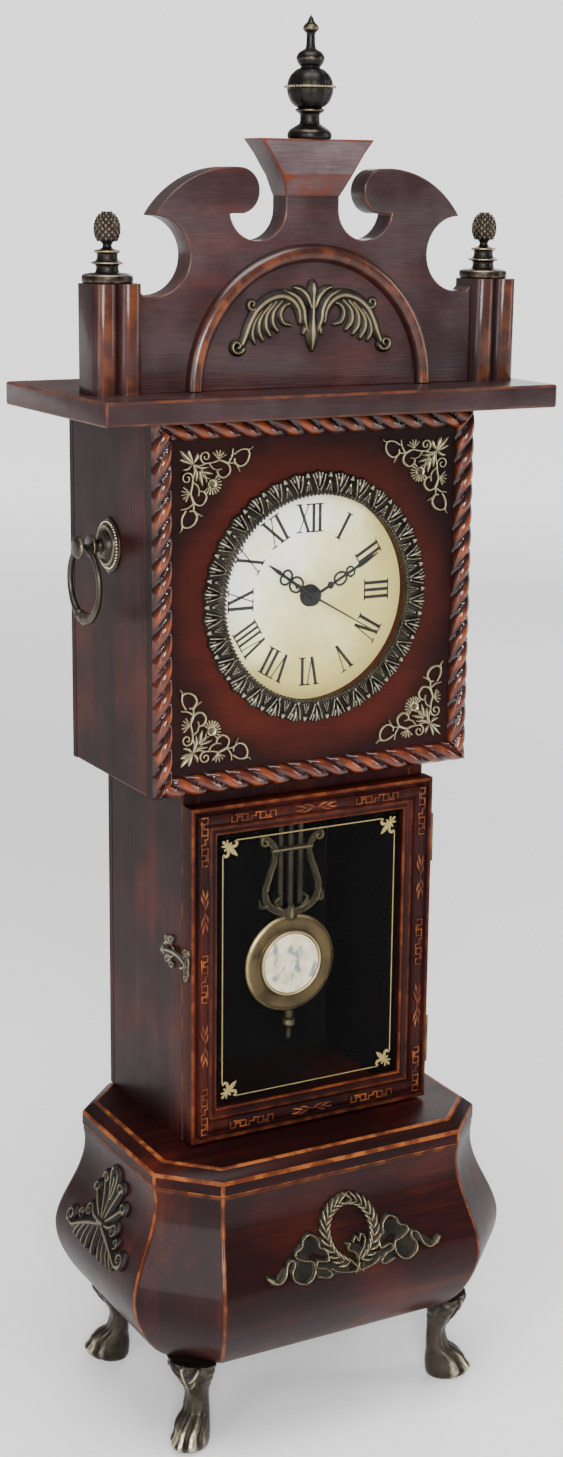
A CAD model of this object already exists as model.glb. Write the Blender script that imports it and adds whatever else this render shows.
"""The looks of a table-top longcase clock, built round its working frame, from the floor up."""
import math

import bmesh
import bpy
import numpy as np
from mathutils import Matrix, Vector


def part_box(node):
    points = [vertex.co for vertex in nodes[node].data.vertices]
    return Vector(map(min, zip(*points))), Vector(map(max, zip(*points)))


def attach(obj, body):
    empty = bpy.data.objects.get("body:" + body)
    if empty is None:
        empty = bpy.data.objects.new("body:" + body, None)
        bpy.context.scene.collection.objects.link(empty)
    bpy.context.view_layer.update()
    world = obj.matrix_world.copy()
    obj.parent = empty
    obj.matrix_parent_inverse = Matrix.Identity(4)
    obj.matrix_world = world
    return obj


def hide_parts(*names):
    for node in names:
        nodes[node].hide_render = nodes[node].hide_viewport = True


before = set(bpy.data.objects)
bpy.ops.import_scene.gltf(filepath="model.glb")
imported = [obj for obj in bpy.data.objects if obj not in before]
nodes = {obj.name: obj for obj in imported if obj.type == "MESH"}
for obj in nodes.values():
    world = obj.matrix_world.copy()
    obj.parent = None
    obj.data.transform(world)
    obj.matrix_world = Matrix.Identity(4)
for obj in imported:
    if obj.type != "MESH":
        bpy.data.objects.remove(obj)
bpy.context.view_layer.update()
MM = 0.001

# ------------------------------------------------------------------------------ the plinth's walls
# Eight bombe panels of mahogany-stained board, each pressed to one swelling curve and mitred to the next.
# The stain is rubbed through to orange wood along the mitres, and the lacquer over it is a worn satin.


class Flow:
    """A number, colour or place that changes over a surface. Arithmetic on it adds Math nodes."""

    def __init__(self, finish, socket):
        self.finish = finish
        self.socket = socket

    def reckon(self, operation, *values):
        return self.finish.node("ShaderNodeMath", {"operation": operation}, dict(enumerate(values)))

    def __add__(self, other):
        return self.reckon("ADD", self, other)

    def __radd__(self, other):
        return self.reckon("ADD", other, self)

    def __sub__(self, other):
        return self.reckon("SUBTRACT", self, other)

    def __rsub__(self, other):
        return self.reckon("SUBTRACT", other, self)

    def __mul__(self, other):
        return self.reckon("MULTIPLY", self, other)

    def __rmul__(self, other):
        return self.reckon("MULTIPLY", other, self)

    def step(self, low, high):
        """0 below low, 1 above high and a smooth climb between; the other way round if low is the larger."""
        settings = {"interpolation_type": "SMOOTHSTEP"}
        return self.finish.node(
            "ShaderNodeMapRange", settings, {"Value": self, "From Min": low, "From Max": high})


class Finish:
    """A material made of one Principled shader; what is the same all over sits on the shader itself."""

    def __init__(self, name, **constants):
        self.material = bpy.data.materials.new(name)
        self.material.use_nodes = True
        self.tree = self.material.node_tree
        self.shader = self.tree.nodes["Principled BSDF"]
        for socket, value in constants.items():
            self.give(socket.replace("_", " "), value)

    def give(self, socket, value):
        self.feed(self.shader.inputs[socket], value)

    def feed(self, socket, value):
        if isinstance(value, Flow):
            self.tree.links.new(value.socket, socket)
        elif isinstance(value, tuple) and len(value) == 3 and socket.type == "RGBA":
            socket.default_value = (*value, 1)
        else:
            socket.default_value = value

    def node(self, kind, settings=None, values=None, output=0):
        """Any node: its settings are set first, and then the values or links of its sockets."""
        node = self.tree.nodes.new(kind)
        for setting, value in (settings or {}).items():
            if setting == "stops":
                stops = node.color_ramp.elements
                for number, (position, colour) in enumerate(value):
                    stop = stops[number] if number < 2 else stops.new(position)
                    stop.position = position
                    stop.color = (*colour, 1)
            else:
                setattr(node, setting, value)
        for name, value in (values or {}).items():
            found = [s for s in node.inputs if name in (s.identifier, s.name)]
            self.feed(node.inputs[name] if isinstance(name, int) else found[0], value)
        return Flow(self, node.outputs[output])

    def blend(self, under, over, share, mode="MIX"):
        values = {"Factor_Float": share, "A_Color": under, "B_Color": over}
        return self.node("ShaderNodeMix", {"data_type": "RGBA", "blend_type": mode}, values, 2)

    def place(self):
        return self.node("ShaderNodeTexCoord", output=3)

    def axis(self, number):
        return self.node("ShaderNodeSeparateXYZ", None, {0: self.place()}, number)

    def noise(self, scale, detail=3.0, stretch=(1, 1, 1)):
        spread = self.node("ShaderNodeVectorMath", {"operation": "MULTIPLY"}, {0: self.place(), 1: stretch})
        return self.node("ShaderNodeTexNoise", None, {"Vector": spread, "Scale": scale, "Detail": detail})

    def ramp(self, flow, *stops):
        return self.node("ShaderNodeValToRGB", {"stops": stops}, {0: flow})

    def mark(self):
        """The mark that a piece's maker left on each point: how rubbed or how bright it is."""
        return self.node("ShaderNodeAttribute", {"attribute_name": "mark"}, output="Fac")

    def bump(self, height, strength, distance):
        values = {"Strength": strength, "Distance": distance, "Height": height}
        self.give("Normal", self.node("ShaderNodeBump", None, values))


STAIN_DARK = (0.0060, 0.0020, 0.0022)
STAIN = (0.0155, 0.0030, 0.0028)
STAIN_RED = (0.0600, 0.0092, 0.0045)
HAZE = (0.140, 0.104, 0.110)
RUBBED = (0.25, 0.072, 0.018)


def mahogany(name, grain, rubbed=RUBBED, redness=1.0, brushed=0.10, worn=1.0, haze=0.0, coat=0.05,
             polish=0.24, inside=None, glow=None):
    """Stained board with its grain along one axis.

    worn is how far its marked edges are rubbed, haze is how dusty and scratched its lacquer is, polish is how
    rough the coat over it is, inside is a test
    that is 1 where the case is painted black, and glow is one that is 1 where the stain was wiped back to red.
    """
    wood = Finish(name, Coat_Weight=coat, Coat_Roughness=polish, Specular_IOR_Level=0.07)
    along = [1.0, 1.0, 1.0]
    along[grain] = 0.05
    figure = wood.noise(150, 4.0, tuple(along))
    pores = wood.noise(1100, 2.0, tuple(along))
    cloud = wood.noise(17, 3.0)
    tone = 0.36 * figure + 0.22 * pores + 0.42 * cloud
    colour = wood.ramp(tone, (0.32, STAIN_DARK), (0.50, STAIN), (0.70, STAIN_RED))
    colour = wood.blend(colour, STAIN_RED, cloud.step(0.50, 0.72) * (0.40 * redness))
    colour = wood.blend(colour, STAIN_DARK, wood.noise(9, 2.0).step(0.56, 0.40) * 0.5)
    if glow:
        wiped = glow(wood)
        colour = wood.blend(wood.blend(colour, STAIN_DARK, 0.75 * (1 - wiped)), STAIN_RED, 0.45 * wiped)
    if haze:
        scratch = wood.noise(1500, 2.0, tuple(along)).step(0.30, 0.75)
        dusty = 0.5 + 0.8 * wood.noise(38, 4.0).step(0.30, 0.70)
        colour = wood.blend(colour, HAZE, haze * (0.7 + 0.3 * scratch) * dusty)
    patchy = wood.noise(120, 5.0).step(0.42, 0.64)
    halo = wood.mark().step(0.1, 1.0)
    colour = wood.blend(colour, STAIN_RED, 0.5 * worn * halo)
    rub = worn * wood.mark() * (0.22 + 0.78 * patchy)
    colour = wood.blend(colour, rubbed, rub)
    shade = 0.36 + 0.16 * wood.noise(60, 3.0)
    if inside:
        dark = inside(wood)
        colour = wood.blend(colour, (0.0025, 0.0016, 0.0016), dark)
        shade = shade + 0.35 * dark
        wood.give("Coat Weight", coat - coat * dark)
    wood.give("Base Color", colour)
    wood.give("Roughness", shade + 0.10 * pores - 0.06)
    relief = pores + 0.5 * figure + 0.5 * patchy * wood.mark()
    wood.bump(relief * (1 - dark) if inside else relief, brushed, 0.0006)
    return wood


class Shape:
    """Points in millimetres, faces, and a mark on each point."""

    def __init__(self, points, faces, mark=0.0):
        self.points = np.asarray(points, float).reshape(-1, 3)
        self.faces = [tuple(face) for face in faces]
        self.mark = np.broadcast_to(np.asarray(mark, float).ravel(), (len(self.points),))

    def __add__(self, other):
        shift = len(self.points)
        moved = [tuple(corner + shift for corner in face) for face in other.faces]
        return Shape(np.vstack([self.points, other.points]), self.faces + moved,
                     np.concatenate([self.mark, other.mark]))

    def placed(self, change):
        return Shape(change(self.points), self.faces, self.mark)

    def at(self, x, y, z):
        return self.placed(lambda points: points + (x, y, z))

    def mirrored(self):
        return self.placed(lambda points: points * (-1, 1, 1))


def about_z(degrees):
    """The matrix that turns a row of points anticlockwise as seen from above."""
    angle = math.radians(degrees)
    return np.array([[math.cos(angle), math.sin(angle), 0], [-math.sin(angle), math.cos(angle), 0], [0, 0, 1]])


def gathered(shapes):
    total = shapes[0]
    for shape in shapes[1:]:
        total = total + shape
    return total


def loft(rings, mark=0.0, closed=False):
    """A skin over rings of points. Its ends are capped unless the last ring joins the first."""
    rings = np.asarray(rings, float)
    count, around = rings.shape[:2]
    faces = []
    for row in range(count if closed else count - 1):
        here = row * around
        there = (row + 1) % count * around
        for step in range(around):
            turn = (step + 1) % around
            faces.append((here + step, here + turn, there + turn, there + step))
    if not closed:
        faces.append(range(around))
        faces.append(range((count - 1) * around, count * around))
    return Shape(rings, faces, mark)


def solid_mesh(name, shape):
    mesh = bpy.data.meshes.new(name)
    mesh.from_pydata((shape.points * MM).tolist(), [], shape.faces)
    mesh.attributes.new("mark", "FLOAT", "POINT").data.foreach_set("value", shape.mark.astype(np.float32))
    work = bmesh.new()
    work.from_mesh(mesh)
    bmesh.ops.recalc_face_normals(work, faces=work.faces)
    work.to_mesh(mesh)
    work.free()
    return mesh


def show(name, mesh, finish, body, slot, *replaced):
    """Puts a finished mesh on its body, in place of the working solids that it stands for."""
    mesh.materials.clear()
    mesh.materials.append(finish.material)
    piece = bpy.data.objects.new(name, mesh)
    bpy.context.scene.collection.objects.link(piece)
    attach(piece, body)
    if replaced:
        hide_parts(*replaced)
    return piece


def make(name, shape, finish, body, slot, *replaced, crisp=35):
    mesh = solid_mesh(name, shape)
    mesh.shade_smooth()
    mesh.set_sharp_from_angle(angle=math.radians(crisp))
    return show(name, mesh, finish, body, slot, *replaced)


PANEL_ROWS = 56
PANEL_WALL = 4.0
PANEL_EASE = 1.4
MITRE = math.tan(math.radians(22.5))

front_panel = nodes["base_front_panel"]
panel_low, panel_high = (corner.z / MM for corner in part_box("base_front_panel"))
levels = np.linspace(panel_low, panel_high, PANEL_ROWS)
wall_reach = []
for level in levels:
    ray_height = min(max(level, panel_low + 0.01), panel_high - 0.01) * MM
    wall_reach.append(-front_panel.ray_cast(Vector((0, -1, ray_height)), Vector((0, 1, 0)))[1].y / MM)
wall_reach = np.array(wall_reach)
half_depth = wall_reach[0]
half_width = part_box("base_side_panels")[1].x / MM - (wall_reach.max() - half_depth)
front_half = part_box("base_front_panel")[1].x / MM - MITRE * (wall_reach.max() - half_depth)
cant = half_width - front_half


def swell(height):
    """How far the plinth's wall stands out of its foot at some height."""
    return np.interp(height, levels, wall_reach) - half_depth


def plinth_panel(distance, half, shift, turn):
    """One panel facing +X at a distance, moved along its face, and then turned about the middle."""
    gaps = np.array([0, 0.12, 0.4, 0.8, PANEL_EASE, 2.2, 3.4])
    rings = []
    marks = []
    for level in levels:
        reach = swell(level)
        side = half + MITRE * reach
        inner = np.linspace(-side + 5, side - 5, 9)
        across = np.concatenate([-side + gaps, inner, side - gaps[::-1]])
        gap = np.minimum(side - abs(across), PANEL_EASE)
        ease = PANEL_EASE - np.sqrt(PANEL_EASE ** 2 - (PANEL_EASE - gap) ** 2)
        edge = min(level - panel_low, panel_high - level)
        lip = 0.5 * max(0.0, 1 - edge / 1.2) ** 2
        outer = np.stack([distance + reach - 0.45 * ease - lip, shift + across], 1)
        back = np.stack([np.full(across.shape, distance + reach - PANEL_WALL), shift + across * 0.97], 1)
        ring = np.vstack([outer, back[::-1]])
        rings.append(np.column_stack([ring, np.full(len(ring), level)]))
        rub = np.clip(1 - (side - abs(across)) / 1.3, 0, 1)
        rub = np.maximum(rub, np.clip(1 - edge / 1.5, 0, 1) * 0.35)
        marks.append(np.concatenate([rub, 0 * rub]))
    return loft(rings, np.array(marks)).placed(lambda points: points @ about_z(turn))


plinth_wood = mahogany("plinth_mahogany", 0, redness=0.8, coat=0.16, polish=0.15)
corner_wood = mahogany("corner_mahogany", 2, redness=0.8, coat=0.16, polish=0.15)
side_half = half_depth - cant
cant_distance = (half_width + half_depth - cant) / math.sqrt(2)
cant_shift = (half_width - half_depth) / math.sqrt(2)
make("front_panel", plinth_panel(half_depth, front_half, 0, -90), plinth_wood, "case", "mahogany",
     "base_front_panel")
make("back_panel_of_plinth", plinth_panel(half_depth, front_half, 0, 90), plinth_wood, "case", "mahogany",
     "base_back_panel")
make("side_panels",
     plinth_panel(half_width, side_half, 0, 0) + plinth_panel(half_width, side_half, 0, 180),
     corner_wood, "case", "mahogany", "base_side_panels")
canted = [plinth_panel(cant_distance, cant / math.sqrt(2), shift, turn) for turn, shift in (
    (45, -cant_shift), (135, cant_shift), (225, -cant_shift), (315, cant_shift))]
make("corner_panels", gathered(canted), corner_wood, "case", "mahogany", "base_corner_panels")

# ------------------------------------------------------------------------------ the flat boards
# Plain sawn boards: the plinth's top and bottom, the trunk's and the hood's sides, the slab and the crest.
# Their sharp edges are eased with a plane and sandpaper, and the stain is rubbed off along them.


def eased(mesh, width, finish, rubbed_facing=None):
    """Gives a mesh rounded edges, and marks them as rubbed, with the faces that look one way if that is given."""
    mesh.materials.clear()
    for _ in range(2):
        mesh.materials.append(finish.material)
    holder = bpy.data.objects.new("blank", mesh)
    bpy.context.scene.collection.objects.link(holder)
    round_over = holder.modifiers.new("round_over", "BEVEL")
    round_over.width = width * MM
    round_over.segments = 3
    round_over.limit_method = "ANGLE"
    round_over.angle_limit = math.radians(28)
    round_over.material = 1
    round_over.harden_normals = True
    view = bpy.context.evaluated_depsgraph_get()
    result = bpy.data.meshes.new_from_object(holder.evaluated_get(view))
    bpy.data.objects.remove(holder)
    rubbed = []
    for face in result.polygons:
        worn = float(face.material_index)
        if rubbed_facing:
            worn = max(worn, min(1.0, 2.5 * max(0.0, face.normal.dot(Vector(rubbed_facing)) - 0.6)))
        rubbed += [worn] * face.loop_total
        face.material_index = 0
    result.attributes.new("mark", "FLOAT", "CORNER").data.foreach_set("value", rubbed)
    return result


def planed(name, source, width, finish, rubbed_facing=None):
    """A board of the case that keeps its working solid's shape, with eased edges."""
    mesh = nodes[source].data.copy()
    work = bmesh.new()
    work.from_mesh(mesh)
    bmesh.ops.remove_doubles(work, verts=work.verts, dist=1e-6)
    bmesh.ops.dissolve_limit(work, angle_limit=math.radians(1), verts=work.verts, edges=work.edges)
    bmesh.ops.recalc_face_normals(work, faces=work.faces)
    for face in work.faces:
        face.smooth = True
    work.to_mesh(mesh)
    work.free()
    return show(name, eased(mesh, width, finish, rubbed_facing), finish, "case", "mahogany", source)


def sawn(name, boxes, width, finish, *replaced):
    """Square boards, each from its lowest to its highest corner in millimetres, with eased edges."""
    work = bmesh.new()
    for low, high in boxes:
        size = Matrix.Diagonal([(b - a) * MM for a, b in zip(low, high)]).to_4x4()
        middle = Matrix.Translation([(a + b) / 2 * MM for a, b in zip(low, high)])
        bmesh.ops.create_cube(work, size=1, matrix=middle @ size)
    for face in work.faces:
        face.smooth = True
    mesh = bpy.data.meshes.new(name)
    work.to_mesh(mesh)
    work.free()
    return show(name, eased(mesh, width, finish), finish, "case", "mahogany", *replaced)


def span(node):
    """A working solid's lowest and highest corners, in millimetres."""
    low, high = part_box(node)
    return [value / MM for value in low], [value / MM for value in high]


upright_wood = mahogany("upright_mahogany", 2, worn=0.25, haze=0.03)
level_wood = mahogany("level_mahogany", 0, redness=0.8, worn=0.9)
slab_wood = mahogany("slab_mahogany", 0, redness=0.7, brushed=0.4, worn=0.24, haze=0.14, coat=0.3, polish=0.20)
brushed_wood = mahogany("brushed_mahogany", 0, redness=0.7, brushed=0.60, worn=0.14, haze=0.20, coat=0.35, polish=0.20)

planed("top_board_of_plinth", "base_top_board", 1.1, level_wood)
planed("bottom_board_of_plinth", "base_bottom_board", 0.6, level_wood)

trunk_low, trunk_high = span("trunk_frame")
hood_low, hood_high = span("hood_sides")
side_board = hood_high[0] - span("hood_floor")[1][0]
trunk_inner = trunk_high[0] - side_board
glass_low, glass_high = span("door_glass")
rail_low = glass_low[2] - 4.5
rail_high = glass_high[2] + 4.5


def black_inside(wood):
    """1 on the faces that look into the pendulum's cabinet."""
    across = wood.axis(0).reckon("ABSOLUTE", wood.axis(0)).step((trunk_inner + 0.3) * MM, (trunk_inner + 0.1) * MM)
    behind = wood.axis(1).step((trunk_low[1] + 0.2) * MM, (trunk_low[1] + 0.8) * MM)
    before_back = wood.axis(1).step((trunk_high[1] + 1.5) * MM, (trunk_high[1] + 0.5) * MM)
    return across * behind * before_back


trunk_wood = mahogany("trunk_mahogany", 2, worn=0.3, haze=0.03, inside=black_inside)
trunk_boards = [
    ((sign * trunk_high[0] if sign < 0 else trunk_inner, trunk_low[1], trunk_low[2]),
     (sign * trunk_inner if sign < 0 else trunk_high[0], trunk_high[1], trunk_high[2]))
    for sign in (-1, 1)]
trunk_boards.append(((-trunk_inner, trunk_low[1], trunk_low[2]),
                     (trunk_inner, trunk_low[1] + side_board, rail_low)))
trunk_boards.append(((-trunk_inner, trunk_low[1], rail_high),
                     (trunk_inner, trunk_low[1] + side_board, trunk_high[2])))
sawn("trunk_boards", trunk_boards, 0.8, trunk_wood, "trunk_frame")
hood_boards = [
    ((sign * hood_high[0] if sign < 0 else hood_high[0] - side_board, *hood_low[1:]),
     (sign * (hood_high[0] - side_board) if sign < 0 else hood_high[0], *hood_high[1:]))
    for sign in (-1, 1)]
sawn("hood_side_boards", hood_boards, 0.9, upright_wood, "hood_sides")
planed("cornice_board", "cornice_slab", 1.2, slab_wood)
planed("crest_of_board", "crest_board", 1.1, brushed_wood)
keystone_wood = mahogany("keystone_mahogany", 0, rubbed=(0.11, 0.022, 0.006), brushed=0.5, haze=0.66, coat=0.2)
planed("keystone_block", "keystone", 0.9, keystone_wood, (0, -0.5, -0.86))
pilaster_wood = mahogany("pilaster_mahogany", 2, redness=1.0, worn=0.26, haze=0.10, coat=0.3, polish=0.16)
planed("reeded_pilasters", "pilasters", 0.6, pilaster_wood, (0.0, -1, 0))


def refinish(finish, *names):
    """Gives working solids that show as they are a better material."""
    for name in names:
        for slot in nodes[name].material_slots:
            slot.material = finish.material


dial_low, dial_high = span("dial")
dial_z = (dial_low[2] + dial_high[2]) / 2


def from_dial_middle(finish):
    """How far each point lies from the dial's middle in the clock's face, in metres."""
    centred = finish.node(
        "ShaderNodeVectorMath", {"operation": "SUBTRACT"}, {0: finish.place(), 1: (0, 0, dial_z * MM)})
    flat = finish.node("ShaderNodeVectorMath", {"operation": "MULTIPLY"}, {0: centred, 1: (1, 0, 1)})
    return finish.node("ShaderNodeVectorMath", {"operation": "LENGTH"}, {0: flat}, 1)


def round_the_dial(wood):
    """1 near the bezel, falling to 0 in the face's corners."""
    return (from_dial_middle(wood) + 0.02 * wood.noise(26, 3.0)).step(0.089, 0.070)


hood_face_wood = mahogany("hood_face_mahogany", 0, redness=0.9, glow=round_the_dial)
refinish(hood_face_wood, "hood_front")
refinish(level_wood, "hood_floor")
back_board = mahogany("back_board_stain", 2, redness=0.3, brushed=0.05, inside=black_inside)
refinish(back_board, "back_panel")

# ------------------------------------------------------------------------------ the rope mouldings
# Half-round mouldings carved as a twisted rope of three strands, mitred at the hood's four corners and glued
# to its face. Each strand's crown is rubbed to bright orange wood, and the grooves keep the black stain.

ROPE_STRANDS = 3
ROPE_PITCH = 10.6
ROPE_GROOVE = 0.62
ROPE_STEPS = 15

rope_low, rope_high = span("rope_mouldings")
rope_half_width = 4.75
rope_depth = rope_high[1] - rope_low[1]


def rope_bar(length, lean):
    """A carved bar along X about the origin, its flat back at y 0, with mitred ends; lean is the twist's hand."""
    angles = np.linspace(0, math.pi, ROPE_STEPS)
    across = np.cos(angles) * rope_half_width
    rings = []
    marks = []
    for share in np.linspace(-1, 1, int(length / 0.75)):
        along = share * (length / 2 - rope_half_width - across)
        twist = angles - lean * 2 * math.pi * along / (ROPE_PITCH * ROPE_STRANDS)
        crown = abs(np.cos(twist * ROPE_STRANDS / 2)) ** 0.55
        carved = 1 - ROPE_GROOVE * (1 - crown) * np.sin(angles) ** 0.35
        y = -np.sin(angles) * rope_depth * carved
        z = across * (1 - 0.55 * (1 - carved))
        rings.append(np.stack([along, y, z], 1))
        marks.append(np.clip(crown * 2.6 - 1.75, 0, 0.8) * np.sin(angles) ** 0.8)
    return loft(rings, np.array(marks))


def turned_to(shape, degrees):
    """Turns a shape in the clock's face, anticlockwise as seen from the front."""
    angle = math.radians(degrees)
    spin = np.array([[math.cos(angle), 0, math.sin(angle)], [0, 1, 0], [-math.sin(angle), 0, math.cos(angle)]])
    return shape.placed(lambda points: points @ spin)


rope_wood = mahogany("rope_mahogany", 0, rubbed=(0.24, 0.050, 0.010), redness=0.0, brushed=0.05, coat=0.7, polish=0.07)
rope_width = rope_high[0] - rope_low[0]
rope_height = rope_high[2] - rope_low[2]
rope_middle = (rope_high[2] + rope_low[2]) / 2
rope_x = rope_high[0] - rope_half_width
rope_bars = [
    rope_bar(rope_width, 1).at(0, rope_high[1], rope_low[2] + rope_half_width),
    turned_to(rope_bar(rope_width, 1), 180).at(0, rope_high[1], rope_high[2] - rope_half_width),
    turned_to(rope_bar(rope_height, 1), 90).at(rope_x, rope_high[1], rope_middle),
    turned_to(rope_bar(rope_height, 1), -90).at(-rope_x, rope_high[1], rope_middle),
]
make("carved_rope", gathered(rope_bars), rope_wood, "case", "mahogany", "rope_mouldings", crisp=60)

# ------------------------------------------------------------------------------ the arch bead
# A half-round bead steamed into a half circle and glued to the crest board, rubbed bright along its crown.

arch_low, arch_high = span("arch_bead")
crest_front = span("crest_board")[0][1]
bead_half = crest_front - arch_low[1]
arch_radius = arch_high[0] - bead_half
arch_rings = []
arch_marks = []
for turn in np.linspace(0, math.pi, 73):
    ring = []
    for step in np.linspace(0, math.pi, 13):
        radius = arch_radius + bead_half * math.cos(step)
        ring.append((radius * math.cos(turn), crest_front - bead_half * math.sin(step),
                     max(arch_low[2], arch_low[2] + 0.5 + radius * math.sin(turn))))
    arch_rings.append(ring)
    arch_marks.append(0.55 * np.sin(np.linspace(0, math.pi, 13)) ** 4 * (0.45 + 0.55 * abs(math.cos(turn))))
arch_wood = mahogany("arch_mahogany", 2, rubbed=(0.26, 0.070, 0.020), redness=1.2, worn=0.9, coat=0.7)
make("bent_bead", loft(arch_rings, np.array(arch_marks)), arch_wood, "case", "mahogany", "arch_bead",
     crisp=60)

# ------------------------------------------------------------------------------ the crest's casting
# A scroll mount cast in brass and pinned to the crest, blackened and then wiped so that its ridges shine.
# Every flat casting on the clock is made the same way, from strokes that are ridged, round or dished.

RIDGED, ROUND, DISHED, DULL = "ridged", "round", "dished", "dull"
BRASS_BLACK = (0.008, 0.006, 0.005)
BRASS_BODY = (0.040, 0.030, 0.019)
BRASS_BRIGHT = (0.52, 0.41, 0.24)


def aged_brass(name, body=BRASS_BODY, bright=BRASS_BRIGHT, recess=BRASS_BLACK, wiped=1.0, gloss=0.30):
    """Blackened brass: dark in the recesses, bronze on the body and wiped bright where the mark is high."""
    brass = Finish(name, Specular_IOR_Level=0.5)
    speckle = brass.noise(420, 4.0)
    cloud = brass.noise(90, 3.0)
    wipe = brass.mark()
    colour = brass.blend(recess, body, (cloud + 0.35 * wipe).step(0.30, 0.68))
    colour = brass.blend(colour, bright, (wipe + 0.30 * (speckle - 0.5)).step(0.38, 0.95) * wiped)
    brass.give("Base Color", colour)
    brass.give("Metallic", 0.72 + 0.25 * wipe)
    brass.give("Roughness", gloss + 0.22 * speckle + 0.12 * (1 - wipe))
    brass.bump(speckle, 0.12, 0.0004)
    return brass


def flowing(points, steps=7):
    """Points joined by a smooth curve; each may carry more numbers, such as a width and a height."""
    points = np.array(points, float)
    points = np.vstack([2 * points[0] - points[1], points, 2 * points[-1] - points[-2]])
    share = np.linspace(0, 1, steps, endpoint=False)[:, None]
    runs = []
    for before, start, end, after in zip(points, points[1:], points[2:], points[3:]):
        bend = 2 * before - 5 * start + 4 * end - after
        curl = 3 * start - before - 3 * end + after
        runs.append(start + 0.5 * share * (end - before + share * (bend + share * curl)))
    return np.vstack([*runs, points[-2:-1]])


def stroke(kind, *points, steps=7):
    """A stroke of a casting through (along, up, half width, height) points."""
    return kind, flowing(points, steps)


def volute(kind, x, z, radius, start, turns, half, height):
    """A scroll that winds inwards from a start angle in degrees."""
    share = np.linspace(0, 1, int(18 * abs(turns)) + 3)
    angle = math.radians(start) + 2 * math.pi * turns * share
    reach = radius * (1 - 0.78 * share)
    return kind, np.stack([x + reach * np.cos(angle), z + reach * np.sin(angle),
                           half * (1 - 0.35 * share), height + 0 * share], 1)


def both_sides(strokes):
    """Strokes and their mirror images."""
    return strokes + [(kind, points * (-1, 1, 1, 1)) for kind, points in strokes]


def widened(strokes, times):
    """The same strokes, each so many times as wide."""
    return [(kind, points * (1, 1, times, 1)) for kind, points in strokes]


def casting(strokes, cell, rim=0.35):
    """A flat-backed casting in the XZ plane, its back at y 0 and its relief towards -Y."""
    every = np.vstack([points for _, points in strokes])
    margin = every[:, 2].max() + 2 * cell
    low = every[:, :2].min(0) - margin
    counts = np.ceil((every[:, :2].max(0) + margin - low) / cell).astype(int) + 1
    xs = low[0] + cell * np.arange(counts[0])
    zs = low[1] + cell * np.arange(counts[1])
    outside = np.full((counts[1], counts[0]), 9.0)
    relief = np.zeros(outside.shape)
    shine = np.zeros(outside.shape)
    for kind, points in strokes:
        reach = points[:, 2].max() + 2 * cell
        first = np.searchsorted(xs, points[:, 0].min() - reach), np.searchsorted(zs, points[:, 1].min() - reach)
        last = np.searchsorted(xs, points[:, 0].max() + reach), np.searchsorted(zs, points[:, 1].max() + reach)
        window = slice(first[1], last[1]), slice(first[0], last[0])
        x, z = np.meshgrid(xs[window[1]], zs[window[0]])
        share = np.full(x.shape, 9.0)
        half = np.ones(x.shape)
        height = np.zeros(x.shape)
        for start, end in zip(points, points[1:]):
            run = end - start
            length = max(run[0] ** 2 + run[1] ** 2, 1e-9)
            along = np.clip(((x - start[0]) * run[0] + (z - start[1]) * run[1]) / length, 0, 1)
            width = np.maximum(start[2] + along * run[2], 0.05)
            gap = np.hypot(x - start[0] - along * run[0], z - start[1] - along * run[1]) / width
            nearer = gap < share
            share = np.where(nearer, gap, share)
            half = np.where(nearer, width, half)
            height = np.where(nearer, start[3] + along * run[3], height)
        inner = np.clip(share, 0, 1)
        if kind == RIDGED:
            body = 0.45 * np.sqrt(1 - inner ** 2) + 0.55 * (1 - inner)
            bright = np.clip(1.15 - inner / 0.42, 0, 1)
        elif kind in (ROUND, DULL):
            body = np.sqrt(1 - inner ** 2)
            bright = np.clip(1.1 - inner / 0.7, 0, 1) * (kind == ROUND)
        else:
            body = 0.42 + 0.58 * np.clip((inner - 0.45) / 0.4, 0, 1) ** 1.5
            bright = np.clip((inner - 0.55) / 0.3, 0, 1)
        body = height * np.where(share < 1, body, 0)
        over = body > relief[window]
        outside[window] = np.minimum(outside[window], (share - 1) * half)
        shine[window] = np.where(over, bright * np.clip(height / 1.0, 0.3, 1), shine[window])
        relief[window] = np.where(over, body, relief[window])
    near = outside < 0.5 * cell
    kept = near[:-1, :-1] & near[1:, :-1] & near[:-1, 1:] & near[1:, 1:]
    around = np.pad(kept, 1)
    whole = around[:-1, :-1] & around[1:, :-1] & around[:-1, 1:] & around[1:, 1:]
    slope_z, slope_x = np.gradient(outside, cell)
    steep = np.maximum(slope_x ** 2 + slope_z ** 2, 0.3)
    shift = np.where(whole, 0, np.clip(outside, -0.7 * cell, 0.7 * cell)) / steep
    grid_x, grid_z = np.meshgrid(xs, zs)
    grid_x = grid_x - shift * slope_x
    grid_z = grid_z - shift * slope_z
    number = np.arange(outside.size).reshape(outside.shape)
    back = outside.size
    corners = np.stack([number[:-1, :-1], number[:-1, 1:], number[1:, 1:], number[1:, :-1]], -1)
    top = corners[kept]
    faces = [top, top[:, ::-1] + back]
    for neighbour, start, end in (
            (around[:-2, 1:-1], 0, 1), (around[1:-1, 2:], 1, 2), (around[2:, 1:-1], 2, 3), (around[1:-1, :-2], 3, 0)):
        edge = corners[kept & ~neighbour]
        faces.append(np.stack([edge[:, end], edge[:, start], edge[:, start] + back, edge[:, end] + back], 1))
    faces = np.vstack(faces)
    used, renumbered = np.unique(faces, return_inverse=True)
    front = np.stack([grid_x, -rim - relief, grid_z], -1).reshape(-1, 3)
    flat = front * (1, 0, 1)
    points = np.vstack([front, flat])[used]
    mark = np.concatenate([shine.ravel(), np.zeros(back)])[used]
    return Shape(points, renumbered.reshape(-1, 4), mark)


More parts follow.
